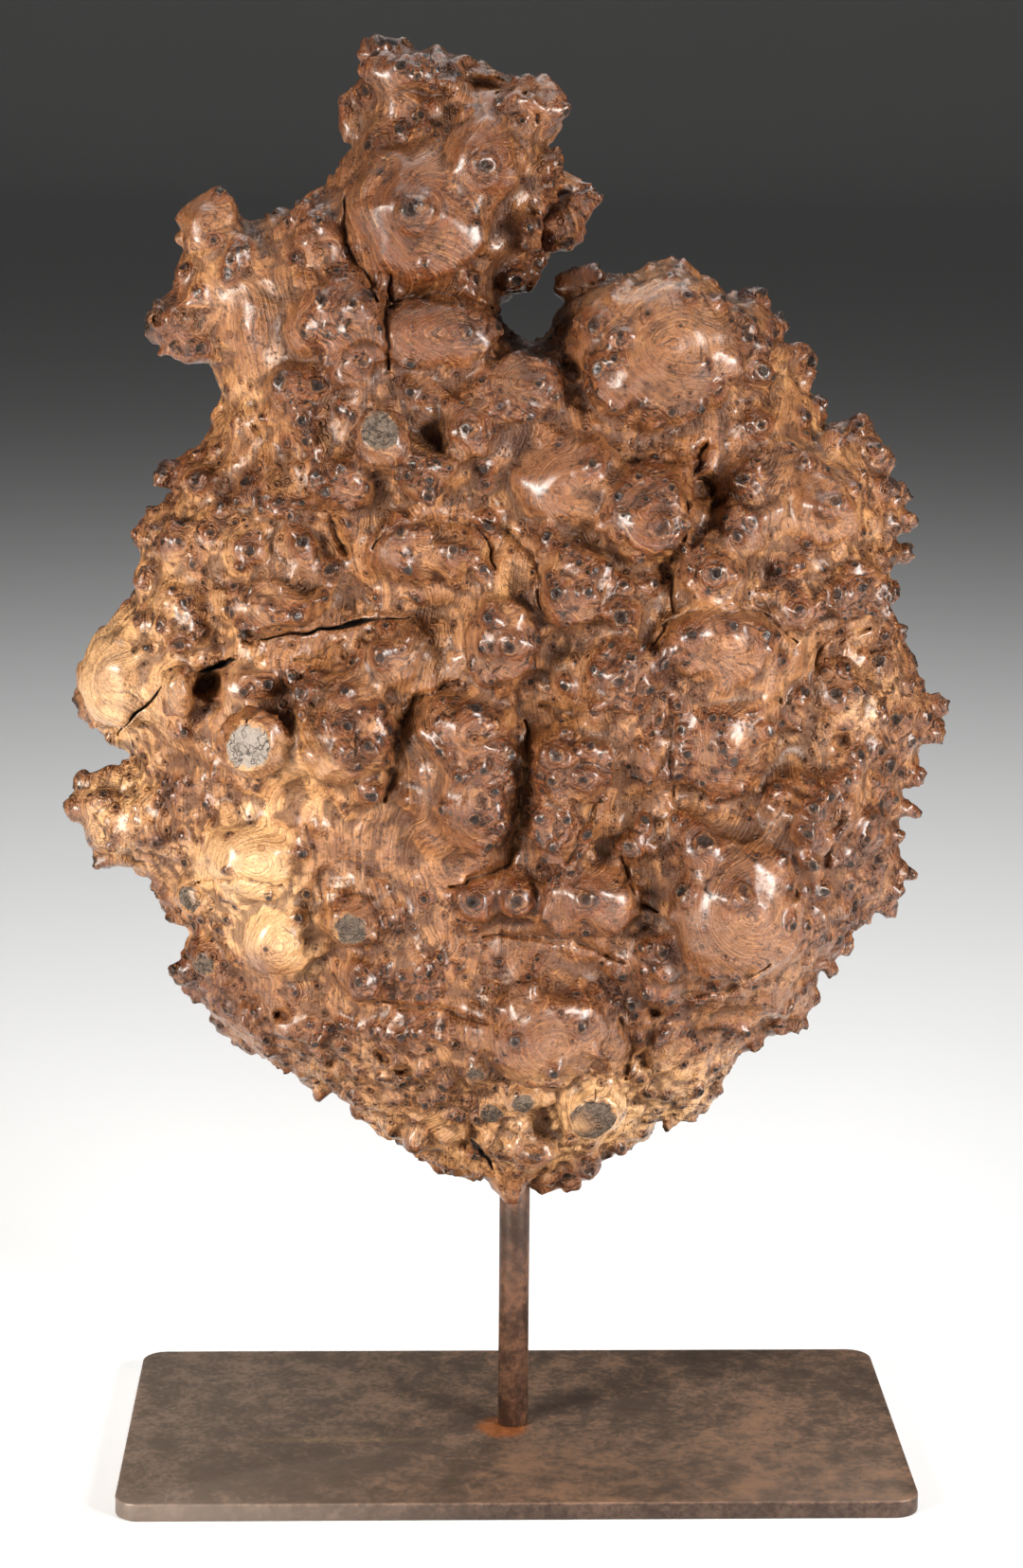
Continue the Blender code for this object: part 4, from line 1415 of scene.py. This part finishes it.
@dataclass
class Burl:
    """The burl, one piece of wood: swellings, knobs, horns and stubs fused into one skin, then cut into."""

    node: str = "burl"
    inset: float = 7.0 * MM
    first_voxel: float = 2.4 * MM
    voxel: float = 1.6 * MM
    swell: float = 1.2
    blunt: float = 1.5
    most_triangles: int = 192_000
    bore_radius: float = 8.24 * MM
    bore_bottom: float = 100 * MM
    bore_top: float = 215.3 * MM
    plug_down: float = 23 * MM
    plug_radius: float = 9.5 * MM
    plug_half: float = 26 * MM
    heart: Place = (5.0, 400.0)
    head_heart: Place = (-30.0, 570.0)
    head_from: Place = (60.0, 590.0)
    warps: tuple[Place, ...] = ((24.0, 3.0), (11.0, 1.4))
    lean: float = 60 * MM
    post_clear: float = 22 * MM
    post_clear_top: float = 175 * MM
    small_radii: tuple[float, ...] = (2.9, 3.4, 4.2, 5.2, 6.6)
    small_odds: tuple[float, ...] = (0.22, 0.25, 0.24, 0.17, 0.12)
    small_kinds: tuple[Knob, ...] = (Knob.EYED, Knob.EYED, Knob.EYED, Knob.CRUSTY, Knob.PLAIN)
    most_knobs: int = 6000
    tries: int = 26000
    tips: list[Tip] = field(default_factory=list)

    def build(self) -> bpy.types.Object:
        """Build and dress the burl.

        Returns:
            The finished piece.
        """
        obj = merged_copy(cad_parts[self.node], "burl_wood")
        skin = Skin(obj)
        skin.places[:, 1] += self.inset * skin.frontness()
        skin.write()
        self.fuse(obj, self.swellings(obj), self.first_voxel)
        skin = Skin(obj)
        skin.smooth(2)
        self.raise_lumps(skin, 17 * MM, 4.4, 61, 0.6)
        self.fuse(obj, self.outgrowths(obj), self.voxel)
        skin = Skin(obj)
        log.info("burl fused: %d points, %d tips", len(skin.places), len(self.tips))
        skin.smooth(2, 0.4)
        self.weather(skin)
        for reach in (3.4, 1.9):
            skin = self.refine_cuts(skin, reach)
        self.carve(skin)
        self.shape_tips(skin)
        self.thin(obj)
        self.bore(obj)
        self.mark(Skin(obj))
        only(obj)
        bpy.ops.object.shade_smooth()
        obj.data.materials.append(BurlWood().material())
        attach(obj, "root")
        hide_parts(self.node)
        return obj

    def fuse(self, obj: bpy.types.Object, clay: Clay, voxel: float) -> None:
        """Join the gathered shapes to the burl and turn all of it into one skin.

        Args:
            obj: The burl, which is changed.
            clay: The gathered shapes.
            voxel: Fineness of the skin.
        """
        lumps = clay.made("burl_lumps")
        only(obj)
        lumps.select_set(True)
        bpy.ops.object.join()
        applied(obj, "REMESH", {"mode": "VOXEL", "voxel_size": voxel, "adaptivity": 0.0})

    def swellings(self, obj: bpy.types.Object) -> Clay:
        """Gather the swellings, and a plug that fills the bore until it is cut anew.

        Args:
            obj: The burl so far.

        Returns:
            The gathered shapes.
        """
        sight = SightLines(obj)
        clay = Clay()
        for x, z, wide, high, rise in LOBES:
            place, out = sight.at(x, z, 0.7 * min(wide, high))
            stand = self.swell * rise
            thick = 0.55 * min(wide, high) + 0.35 * stand
            middle = place + out * (stand - thick) * MM
            clay.add(clay.fine_ball, middle, axes_of(out), np.array((wide, high, thick)) * MM)
        plug = np.array((POST_X, 0.0, self.bore_top - self.plug_down))
        sizes = np.array((self.plug_radius, self.plug_radius, self.plug_half))
        clay.add(clay.rod, plug, np.eye(3), sizes)
        return clay

    def raise_lumps(self, skin: Skin, size: float, height: float, seed: int, least: float) -> None:
        """Raise irregular lumps with creases between them, lower where the skin is smooth.

        Args:
            skin: The burl's skin.
            size: Width of a lump.
            height: How far the highest stand out, in millimetres.
            seed: Picks one pattern.
            least: Share of the height that is left where the skin is smooth.
        """
        pulled = skin.places + cloudy_pull(skin.places, 1.1 * size, seed) * (0.28 * size)
        dome, number = lumpy(pulled, size, seed)
        share = (1 - (1 - least) * skin.cover(SMOOTH)) * (1 - 0.85 * skin.backness(0.2, 0.6))
        skin.lift(height * share * ((0.35 + 0.9 * number) * soft_step(dome, 0.0, 0.75) - 0.35))

    def outgrowths(self, obj: bpy.types.Object) -> Clay:
        """Gather knobs, horns and stubs, and the small knobs between them.

        Args:
            obj: The burl with its swellings.

        Returns:
            The gathered shapes.
        """
        sight = SightLines(obj)
        clay = Clay()
        chance = np.random.default_rng(7)
        for kind, knobs in zip(Knob, (EYED, RINGED, CRUSTY, PLAIN)):
            for x, z, radius in knobs:
                place, out = sight.at(x, z, 0.8 * radius)
                self.add_knob(clay, kind, place, out, radius * MM, chance)
        for x, z, radius, stand, faces, tone in STUBS:
            place, _ = sight.at(x, z, radius)
            self.add_stub(clay, place, np.array(faces), radius * MM, stand * MM, tone)
        for x, z, length, root, tip, depth in HORNS:
            blunt = self.blunt * tip + 0.6
            root = max(1.15 * root, 1.3 * blunt)
            self.add_horn(clay, (x, z), length * MM, root * MM, blunt * MM, depth * MM, chance)
        self.add_small_knobs(clay, Skin(obj), chance)
        return clay

    def add_knob(
        self, clay: Clay, kind: Knob, place: Points, out: Points, radius: float,
        chance: np.random.Generator,
    ) -> None:
        """Gather one knob.

        Args:
            clay: Where it is gathered.
            kind: Its kind.
            place: Where it sits on the skin.
            out: Straight out from the skin.
            radius: Its radius.
            chance: The source of small irregularities.
        """
        out = unit(out + chance.normal(0, 0.10, 3))
        axes = axes_of(out)
        stand = kind.stand * radius
        sizes = radius * np.array((chance.uniform(0.9, 1.12), chance.uniform(0.9, 1.12), 1.0))
        if kind is Knob.RINGED:
            sizes[2] *= 0.62
            clay.add(clay.small_ball, place + out * (stand - 0.1 * radius), axes, radius * np.full(3, 0.36))
            stand += 0.22 * radius
        clay.add(clay.small_ball, place + out * (kind.stand * radius - sizes[2]), axes, sizes)
        if kind is Knob.CRUSTY:
            for angle in chance.uniform(0, math.tau, 4):
                lump = place + out * 0.52 * radius + sideways(axes, angle) * 0.55 * radius
                clay.add(clay.small_ball, lump, axes, radius * chance.uniform(0.22, 0.36, 3))
        self.tips.append(Tip(place + out * stand, out, radius, kind.eye))

    def add_stub(
        self, clay: Clay, place: Points, faces: Points, radius: float, stand: float, tone: float
    ) -> None:
        """Gather one sawn stub with the swollen collar round it.

        Args:
            clay: Where it is gathered.
            place: Where it leaves the skin.
            faces: What its sawn face looks at.
            radius: Its radius.
            stand: How far it stands out.
            tone: How pale its face is.
        """
        out = unit(faces)
        axes = axes_of(out)
        half = 9 * MM
        clay.add(clay.rod, place + out * (stand - half), axes, np.array((radius, 1.1 * radius, half)))
        clay.add(clay.small_ball, place - out * 0.25 * radius, axes, radius * np.array((1.45, 1.5, 0.75)))
        self.tips.append(Tip(place + out * stand, out, 1.05 * radius, 0.0, 1.0, tone))

    def add_horn(
        self, clay: Clay, tip: Place, length: float, root: float, end: float, depth: float,
        chance: np.random.Generator,
    ) -> None:
        """Gather one horn: a tapering row of balls with a ragged tip.

        Args:
            clay: Where it is gathered.
            tip: Its tip on the layout plane.
            length: Its length.
            root: Radius at its root.
            end: Radius at its tip.
            depth: Depth of its tip.
            chance: The source of small irregularities.
        """
        on_head = tip[0] < self.head_from[0] and tip[1] > self.head_from[1]
        heart = self.head_heart if on_head else self.heart
        out = unit(np.array((tip[0] - heart[0], 0.0, tip[1] - heart[1])))
        out = unit(out + np.array((0.0, depth / self.lean, 0.0)) + chance.normal(0, 0.08, 3))
        aim = np.array((tip[0] * MM + LAYOUT_X, 0.0, tip[1] * MM))
        eye = np.array(EYE)
        point = aim + (aim - eye) * (depth / -eye[1]) - out * end
        axes = axes_of(out)
        for share in (0.0, 0.3, 0.55, 0.78, 1.0):
            radius = end + (root - end) * share
            drift = chance.normal(0, 0.10 * radius, 3) * (share > 0)
            middle = point - out * length * share + drift
            clay.add(clay.small_ball, middle, axes, radius * chance.uniform(0.88, 1.12, 3))
        for angle in chance.uniform(0, math.tau, 5):
            lump = point - out * chance.uniform(-0.4, 2.6) * end + sideways(axes, angle) * 0.85 * end
            clay.add(clay.small_ball, lump, axes, end * chance.uniform(0.35, 0.65, 3))
        self.tips.append(Tip(point + out * end, out, 1.9 * end, 1.0))

    def add_small_knobs(self, clay: Clay, skin: Skin, chance: np.random.Generator) -> None:
        """Gather the small knobs that crowd on the swellings and lumps, with few in the hollows between.

        Args:
            clay: Where they are gathered.
            skin: The burl's skin.
            chance: The source of their places and sizes.
        """
        smooth, pipped = skin.cover(SMOOTH), skin.cover(PIPPED)
        behind = soft_step(skin.places[:, 1] / MM, 20, 46)
        proud = -skin.sunk(30, 0.6) / MM
        wanted = soft_step(proud, -0.6, 1.6) * (1 - 0.97 * soft_step(smooth, 0.3, 0.7)) * (1 - 0.8 * behind)
        edge_on = soft_step(abs(skin.normals[:, 1]), 0.55, 0.15)
        wanted = np.clip(0.62 * wanted + 0.10 * pipped * (1 - behind), 0, 1) * (1 - 0.7 * edge_on)
        taken = np.zeros((self.most_knobs, 3))
        sizes = np.zeros(self.most_knobs)
        held = len(self.tips)
        taken[:held] = [tip.place for tip in self.tips]
        sizes[:held] = [tip.radius for tip in self.tips]
        for index in chance.permutation(len(skin.places))[: self.tries]:
            if chance.uniform() > wanted[index]:
                continue
            place, out = skin.places[index], skin.normals[index]
            if math.hypot(place[0] - POST_X, place[1]) < self.post_clear and place[2] < self.post_clear_top:
                continue
            radius = chance.choice(self.small_radii, p=self.small_odds) * MM
            gap = (0.3 + 7.0 * (1 - pipped[index]) * chance.uniform()) * MM + behind[index] * 6 * MM
            near = np.linalg.norm(taken[:held] - place, axis=1)
            if (near < 0.92 * sizes[:held] + radius + gap).any():
                continue
            kind = self.small_kinds[chance.integers(len(self.small_kinds))]
            self.add_knob(clay, kind, place, out, radius, chance)
            taken[held], sizes[held] = place, radius
            held += 1

    def warp(self, places: Points) -> Points:
        """How far each place is pulled about, so that nothing stays a plain ball.

        Args:
            places: Any places.

        Returns:
            The pull at each.
        """
        pull = np.zeros_like(places)
        for turn, (size, reach) in enumerate(self.warps):
            pull += reach * MM * cloudy_pull(places, size * MM, 10 * turn)
        return pull

    def weather(self, skin: Skin) -> None:
        """Pull the skin about, roughen it, and tear the wood fibres of the back.

        Args:
            skin: The burl's skin.
        """
        self.tips = [replace(tip, place=tip.place + self.warp(tip.place[None])[0]) for tip in self.tips]
        skin.places = skin.places + self.warp(skin.places)
        skin.write()
        self.raise_lumps(skin, 7.5 * MM, 1.6, 62, 0.2)
        rough = 0.30 * cloudy(skin.places, 5.0 * MM, 31) + 0.18 * cloudy(skin.places, 2.8 * MM, 32)
        back = skin.backness(0.35, 0.75)
        drawn = skin.places * (1.0, 1.0, 0.11)
        fibres = 1.7 * cloudy(drawn, 7.0 * MM, 33) + 0.9 * cloudy(drawn, 3.4 * MM, 34)
        fibres += 3.0 * cloudy(skin.places * (1.0, 1.0, 0.45), 34.0 * MM, 35)
        skin.lift(rough * (1 - back) + fibres * back)

    def refine_cuts(self, skin: Skin, reach: float) -> Skin:
        """Make the mesh finer along cracks and grooves.

        Args:
            skin: The burl's skin.
            reach: How far from a line, in millimetres.

        Returns:
            The finer skin.
        """
        flat, drift, front = skin.layout(), self.drift(skin.places), skin.frontness() > 0.5
        chosen = np.zeros(len(flat), bool)
        for line, wide, _ in CRACKS:
            chosen |= line_distance(flat + CRACK_WANDER * drift, line) < wide + reach
        for line, wide, _ in GROOVES:
            chosen |= line_distance(flat + GROOVE_WANDER * drift, line) < 0.4 * wide + 0.6 * reach
        return skin.refine(chosen & front)

    def carve(self, skin: Skin) -> None:
        """Cut grooves, cracks and pits along the lines of sight.

        Args:
            skin: The burl's skin.
        """
        drift = self.drift(skin.places)
        flat = skin.layout()
        wandering = flat + GROOVE_WANDER * drift
        width = 1 + 0.35 * cloudy(skin.places, 11 * MM, 43)
        cut = np.zeros(len(flat))
        for line, wide, depth in GROOVES:
            away = line_distance(wandering, line) / ((0.30 * wide + 1.0) * width * self.taper(flat, line))
            cut = np.maximum(cut, 1.15 * depth * np.exp(-(away**1.15)))
            cut -= 0.2 * depth * np.exp(-((away - 2.6) ** 2))
        for line, wide, depth in CRACKS:
            away = self.crack_share(flat, drift, line, wide)
            cut = np.maximum(cut, depth * soft_step(away, 1.6, 0.4))
        for x, z, wide, high, depth in PITS:
            away = oval_distance(wandering, x, z, wide, high)
            cut = np.maximum(cut, depth * soft_step(away, 1.25, 0.25))
        sight = skin.places - np.array(EYE)
        sight /= np.linalg.norm(sight, axis=1)[:, None]
        skin.places = skin.places + sight * (cut * skin.frontness())[:, None] * MM
        skin.write()

    @staticmethod
    def drift(places: Points) -> Points:
        """How far lines wander on the layout, at each place."""
        return cloudy_pull(places, 14 * MM, 41, 2) + 0.45 * cloudy_pull(places, 5 * MM, 44, 2)

    @staticmethod
    def crack_share(flat: Points, drift: Points, line: list[Place], wide: float) -> Points:
        """Distance from a crack in half widths; the crack narrows to its ends.

        Args:
            flat: Layout places.
            drift: How far lines wander there.
            line: The crack's points.
            wide: Its half width, in millimetres.

        Returns:
            Under 1 inside the crack.
        """
        uneven = np.clip(1 + 0.5 * drift[:, 0], 0.45, 1.7)
        away = line_distance(flat + CRACK_WANDER * drift, line)
        return away / (0.50 * wide * uneven * Burl.taper(flat, line))

    @staticmethod
    def taper(flat: Points, line: list[Place]) -> Points:
        """How a cut narrows to its ends.

        Args:
            flat: Layout places.
            line: The cut's points.

        Returns:
            Its share of the full width at each place.
        """
        ends = np.array((line[0], line[-1]), float)
        span = np.linalg.norm(ends[1] - ends[0])
        from_end = np.min([np.linalg.norm(flat - end, axis=1) for end in ends], axis=0)
        return 0.28 + 0.72 * soft_step(from_end, 0, 0.35 * span)

    def shape_tips(self, skin: Skin) -> None:
        """Cut an eye and a ring into each knob, and level each sawn face.

        Args:
            skin: The burl's skin.
        """
        tree = skin.finder()
        seated = []
        for tip in self.tips:
            near = tip.near(tree, 1.3)
            if not len(near):
                continue
            off = skin.places[near] - tip.place
            rise = off @ tip.out
            away = np.linalg.norm(off - rise[:, None] * tip.out, axis=1) / tip.radius
            if tip.sawn:
                flatten = soft_step(away, 1.0, 0.8) * (rise > -0.6 * tip.radius)
                skin.places[near] -= tip.out * (rise * flatten)[:, None]
                seated.append(tip)
                continue
            middle = away < 0.35
            top = rise[middle].max() if middle.any() else 0.0
            depth = tip.eye * tip.radius
            cut = 0.30 * depth * soft_step(away, 0.34, 0.08)
            cut += 0.10 * depth * soft_step(abs(away - 0.60), 0.16, 0.0)
            skin.places[near] -= tip.out * cut[:, None]
            seated.append(replace(tip, place=tip.place + tip.out * (top - 0.1 * depth)))
        self.tips = seated
        skin.write()

    def thin(self, obj: bpy.types.Object) -> None:
        """Leave out points where the skin is plain.

        Args:
            obj: The burl, which is changed.
        """
        obj.data.calc_loop_triangles()
        share = self.most_triangles / len(obj.data.loop_triangles)
        if share < 1:
            applied(obj, "DECIMATE", {"decimate_type": "COLLAPSE", "ratio": share})

    def bore(self, obj: bpy.types.Object) -> None:
        """Bore the hole that the post stands in.

        Args:
            obj: The burl, which is changed.
        """
        bpy.ops.object.select_all(action="DESELECT")
        bpy.ops.mesh.primitive_cylinder_add(
            vertices=48, radius=self.bore_radius, depth=self.bore_top - self.bore_bottom,
            location=(POST_X, 0.0, (self.bore_top + self.bore_bottom) / 2),
        )
        drill = bpy.context.view_layer.objects.active
        applied(obj, "BOOLEAN", {"operation": "DIFFERENCE", "object": drill, "solver": "EXACT"})
        bpy.data.objects.remove(drill)

    def mark(self, skin: Skin) -> None:
        """Store what the finish reads: knobs, hollows, tone, grain and cracks.

        Args:
            skin: The burl's skin.
        """
        flat, front = skin.layout(), skin.frontness()
        count = len(flat)
        tree = skin.finder()
        knob_at = np.full((count, 3), BEYOND)
        nearest = np.full(count, BEYOND)
        eye, sawn, pale_face = np.zeros((3, count))
        for tip in self.tips:
            near = tip.near(tree, 1.9)
            if not len(near):
                continue
            off = (skin.places[near] - tip.place) / tip.radius
            away = np.linalg.norm(off, axis=1)
            won = away < nearest[near]
            near, off, away = near[won], off[won], away[won]
            nearest[near] = away
            knob_at[near] = off
            eye[near] = tip.eye
            flat_face = (skin.normals[near] @ tip.out > 0.86) & (away < 1.02) & (abs(off @ tip.out) < 0.25)
            sawn[near] = tip.sawn * flat_face
            pale_face[near] = tip.tone * flat_face
        # hollow and crease measure how far the skin lies sunk; the finish paints shade with them.
        hollow = np.zeros(count)
        for rounds, reach in ((5, 0.45), (26, 1.9)):
            hollow += skin.sunk(rounds) / (reach * MM)
        hollow = skin.smoothed(np.clip(0.5 * hollow, -1, 1), 3)
        crease = skin.smoothed(np.clip(skin.sunk(4) / (0.30 * MM), -1, 1), 1)
        tone = 0.14 * cloudy(skin.places, 60 * MM, 51) + soft_step(flat[:, 0], -120, -215) * 0.25
        for x, z, wide, high, change in TONES:
            tone += change * patch_share(flat, (x, z, wide, high), 0.6) * front
        pipped = 0.45 + 0.25 * cloudy(skin.places, 30 * MM, 52) + 0.5 * skin.cover(PIPPED)
        pipped = np.clip(pipped - 1.1 * skin.cover(SMOOTH), 0, 1)
        grain = skin.places[:, 0] + 13 * MM * cloudy(skin.places, 42 * MM, 53)
        grain += 4 * MM * cloudy(skin.places, 15 * MM, 54)
        for x, z, wide, high, _ in LOBES:
            away = oval_distance(flat, x, z, wide, high)
            grain += front * soft_step(away, 1.5, 0.2) * 1.3 * (1 - away) * 0.5 * (wide + high) * MM
        crack = np.full(count, BEYOND)
        drift = self.drift(skin.places)
        for line, wide, _ in CRACKS:
            away = self.crack_share(flat, drift, line, wide)
            crack = np.minimum(crack, away + BEYOND * (1 - front))
        tone = np.where(sawn > 0, pale_face, tone)
        marks = {
            "knob_at": knob_at, "eye": eye, "sawn": sawn, "hollow": hollow, "tone": tone, "pipped": pipped,
            "grain": grain, "crack": crack, "torn": skin.backness(0.2, 0.6), "crease": crease,
        }
        for name, values in marks.items():
            store(skin.obj.data, name, values)


# ---------------------------------------------------------------------------
# The stand
# ---------------------------------------------------------------------------


@dataclass
class Stand:
    """The steel stand: base plate, post and the screw between them."""

    plate_top: float = 9.525 * MM

    def build(self) -> list[bpy.types.Object]:
        """Build and dress the three pieces.

        Returns:
            The finished pieces.
        """
        bloom = StainOrSheen(
            (POST_X - 5 * MM, -7 * MM, self.plate_top), (1.0, 1.0, 1.6), 16.0, 17.0, 9.0, 0.75,
            linear(168, 104, 58),
        )
        # Painted sheen: a pale streak across the plate's top, left of the post.
        painted_sheen_streak = StainOrSheen(
            (POST_X - 95 * MM, -22 * MM, self.plate_top), (1.0, 11.0, 1.0), 30.0, 62.0, 20.0, 0.42,
            linear(150, 128, 104),
        )
        plate = RustedSteel(
            "plate_steel", linear(90, 77, 68), linear(115, 99, 87), linear(140, 104, 77),
            stains=(bloom, painted_sheen_streak), shade_sides_below=PER_METRE * self.plate_top - 0.2,
        )
        post = RustedSteel("post_steel", linear(60, 45, 38), linear(96, 74, 62), linear(134, 92, 66))
        return [
            self.piece("base_plate", "stand_plate", plate.material()),
            self.piece("post", "stand_post", post.material()),
            self.piece("post_screw", "stand_screw", ScrewSteel().material()),
        ]

    def piece(self, node: str, name: str, material: bpy.types.Material) -> bpy.types.Object:
        """Copy one node as a joined-up mesh with smooth rounds, and dress it.

        Args:
            node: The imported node.
            name: The piece's name.
            material: Its finish.

        Returns:
            The piece.
        """
        obj = merged_copy(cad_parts[node], name)
        only(obj)
        bpy.ops.object.shade_smooth_by_angle(angle=math.radians(35))
        obj.data.materials.append(material)
        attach(obj, "root")
        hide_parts(node)
        return obj


# ---------------------------------------------------------------------------
# Studio
# ---------------------------------------------------------------------------


@dataclass(frozen=True)
class Softbox:
    """One soft light: where it stands, what it aims at, its size, power and colour."""

    name: str
    place: Place3
    aim: Place3
    size: float
    power: float
    colour: Colour = (1.0, 1.0, 1.0)


@dataclass
class Studio:
    """The floor, the soft lights and the camera."""

    lens: float = 76.396
    sensor: float = 36.0
    yaw: float = 1.7672
    pitch: float = 12.2374
    roll: float = 0.4694
    floor_wide: float = 30.0
    floor_deep: float = 22.0
    floor_middle: float = 6.0
    floor_drop: float = 0.2 * MM
    wall: float = 8.0
    sweep: float = 1.2
    room_colour: Colour = (1.0, 0.99, 0.97)
    room_light: float = 0.045
    lights: tuple[Softbox, ...] = (
        Softbox("key_left", (-1.30, -1.10, 0.62), (0.0, 0.0, 0.42), 0.56, 43.0, (1.0, 0.96, 0.90)),
        Softbox("key_right", (1.25, -1.00, 0.66), (0.0, 0.0, 0.42), 0.54, 37.0, (1.0, 0.98, 0.95)),
        Softbox("front", (-0.2, -2.3, 1.5), (0.0, 0.0, 0.40), 0.8, 2.0),
        Softbox("behind", (0.5, 1.3, 2.3), (0.0, 0.0, 0.40), 0.9, 4.0),
        Softbox("floor_light", (0.0, 0.7, 2.6), (0.0, 0.7, 0.0), 1.6, 27.0),
    )

    def build(self) -> None:
        """Build all of it."""
        self.build_floor()
        for light in self.lights:
            self.build_light(light)
        self.build_world()
        self.build_camera()

    def build_floor(self) -> None:
        """Lay a pale sheet that sweeps up behind."""
        bpy.ops.object.select_all(action="DESELECT")
        bpy.ops.mesh.primitive_plane_add(size=1, location=(0, self.floor_middle, -self.floor_drop))
        floor = bpy.context.view_layer.objects.active
        floor.name = "floor"
        floor.scale = (self.floor_wide, self.floor_deep, 1)
        bpy.ops.object.transform_apply(location=True, scale=True)
        bpy.ops.object.mode_set(mode="EDIT")
        bpy.ops.mesh.select_mode(type="EDGE")
        bpy.ops.mesh.select_all(action="DESELECT")
        bpy.ops.object.mode_set(mode="OBJECT")
        self.choose_back_edge(floor)
        bpy.ops.object.mode_set(mode="EDIT")
        bpy.ops.mesh.extrude_region_move(TRANSFORM_OT_translate={"value": (0, 0, self.wall)})
        bpy.ops.object.mode_set(mode="OBJECT")
        self.choose_back_edge(floor)
        bpy.ops.object.mode_set(mode="EDIT")
        bpy.ops.mesh.bevel(offset=self.sweep, segments=16)
        bpy.ops.object.mode_set(mode="OBJECT")
        bpy.ops.object.shade_smooth()
        floor.data.materials.append(PaleFloor().material())

    @staticmethod
    def choose_back_edge(floor: bpy.types.Object) -> None:
        """Select the floor's edge at the back, on the ground.

        Args:
            floor: The floor.
        """
        places = [vertex.co for vertex in floor.data.vertices]
        back = max(place.y for place in places)
        for edge in floor.data.edges:
            edge.select = all(places[v].y > back - MM and places[v].z < MM for v in edge.vertices)

    def build_light(self, light: Softbox) -> None:
        """Stand one softbox.

        Args:
            light: Its place, aim, size, power and colour.
        """
        data = bpy.data.lights.new(light.name, "AREA")
        data.energy = light.power
        data.size = light.size
        data.color = light.colour
        obj = bpy.data.objects.new(light.name, data)
        bpy.context.scene.collection.objects.link(obj)
        obj.location = light.place
        obj.rotation_euler = (Vector(light.aim) - Vector(light.place)).to_track_quat("-Z", "Y").to_euler()

    def build_world(self) -> None:
        """Fill the room with pale light."""
        world = bpy.data.worlds.new("room")
        world.use_nodes = True
        background = world.node_tree.nodes["Background"]
        background.inputs["Color"].default_value = (*self.room_colour, 1.0)
        background.inputs["Strength"].default_value = self.room_light
        bpy.context.scene.world = world

    def build_camera(self) -> None:
        """Stand the camera in front, a little above."""
        yaw, pitch, roll = (math.radians(angle) for angle in (self.yaw, self.pitch, self.roll))
        ahead = Vector((math.sin(yaw) * math.cos(pitch), math.cos(yaw) * math.cos(pitch), -math.sin(pitch)))
        level = Vector((math.cos(yaw), -math.sin(yaw), 0.0))
        up = level.cross(ahead)
        right = level * math.cos(roll) + up * math.sin(roll)
        top = up * math.cos(roll) - level * math.sin(roll)
        data = bpy.data.cameras.new("camera")
        data.lens = self.lens
        data.sensor_width = self.sensor
        camera = bpy.data.objects.new("camera", data)
        bpy.context.scene.collection.objects.link(camera)
        camera.matrix_world = Matrix.Translation(EYE) @ Matrix((right, top, -ahead)).transposed().to_4x4()
        bpy.context.scene.camera = camera
        view = bpy.context.scene.view_settings
        view.view_transform = "Standard"
        view.look = "Medium High Contrast"


def main() -> None:
    """Build every piece, then the studio."""
    logging.basicConfig(level=logging.INFO, format="%(name)s: %(message)s")
    burl = Burl().build()
    log.info("burl: %d triangles", len(burl.data.polygons))
    for piece in Stand().build():
        log.info("%s: %d faces", piece.name, len(piece.data.polygons))
    Studio().build()


if __name__ == "__main__":
    main()
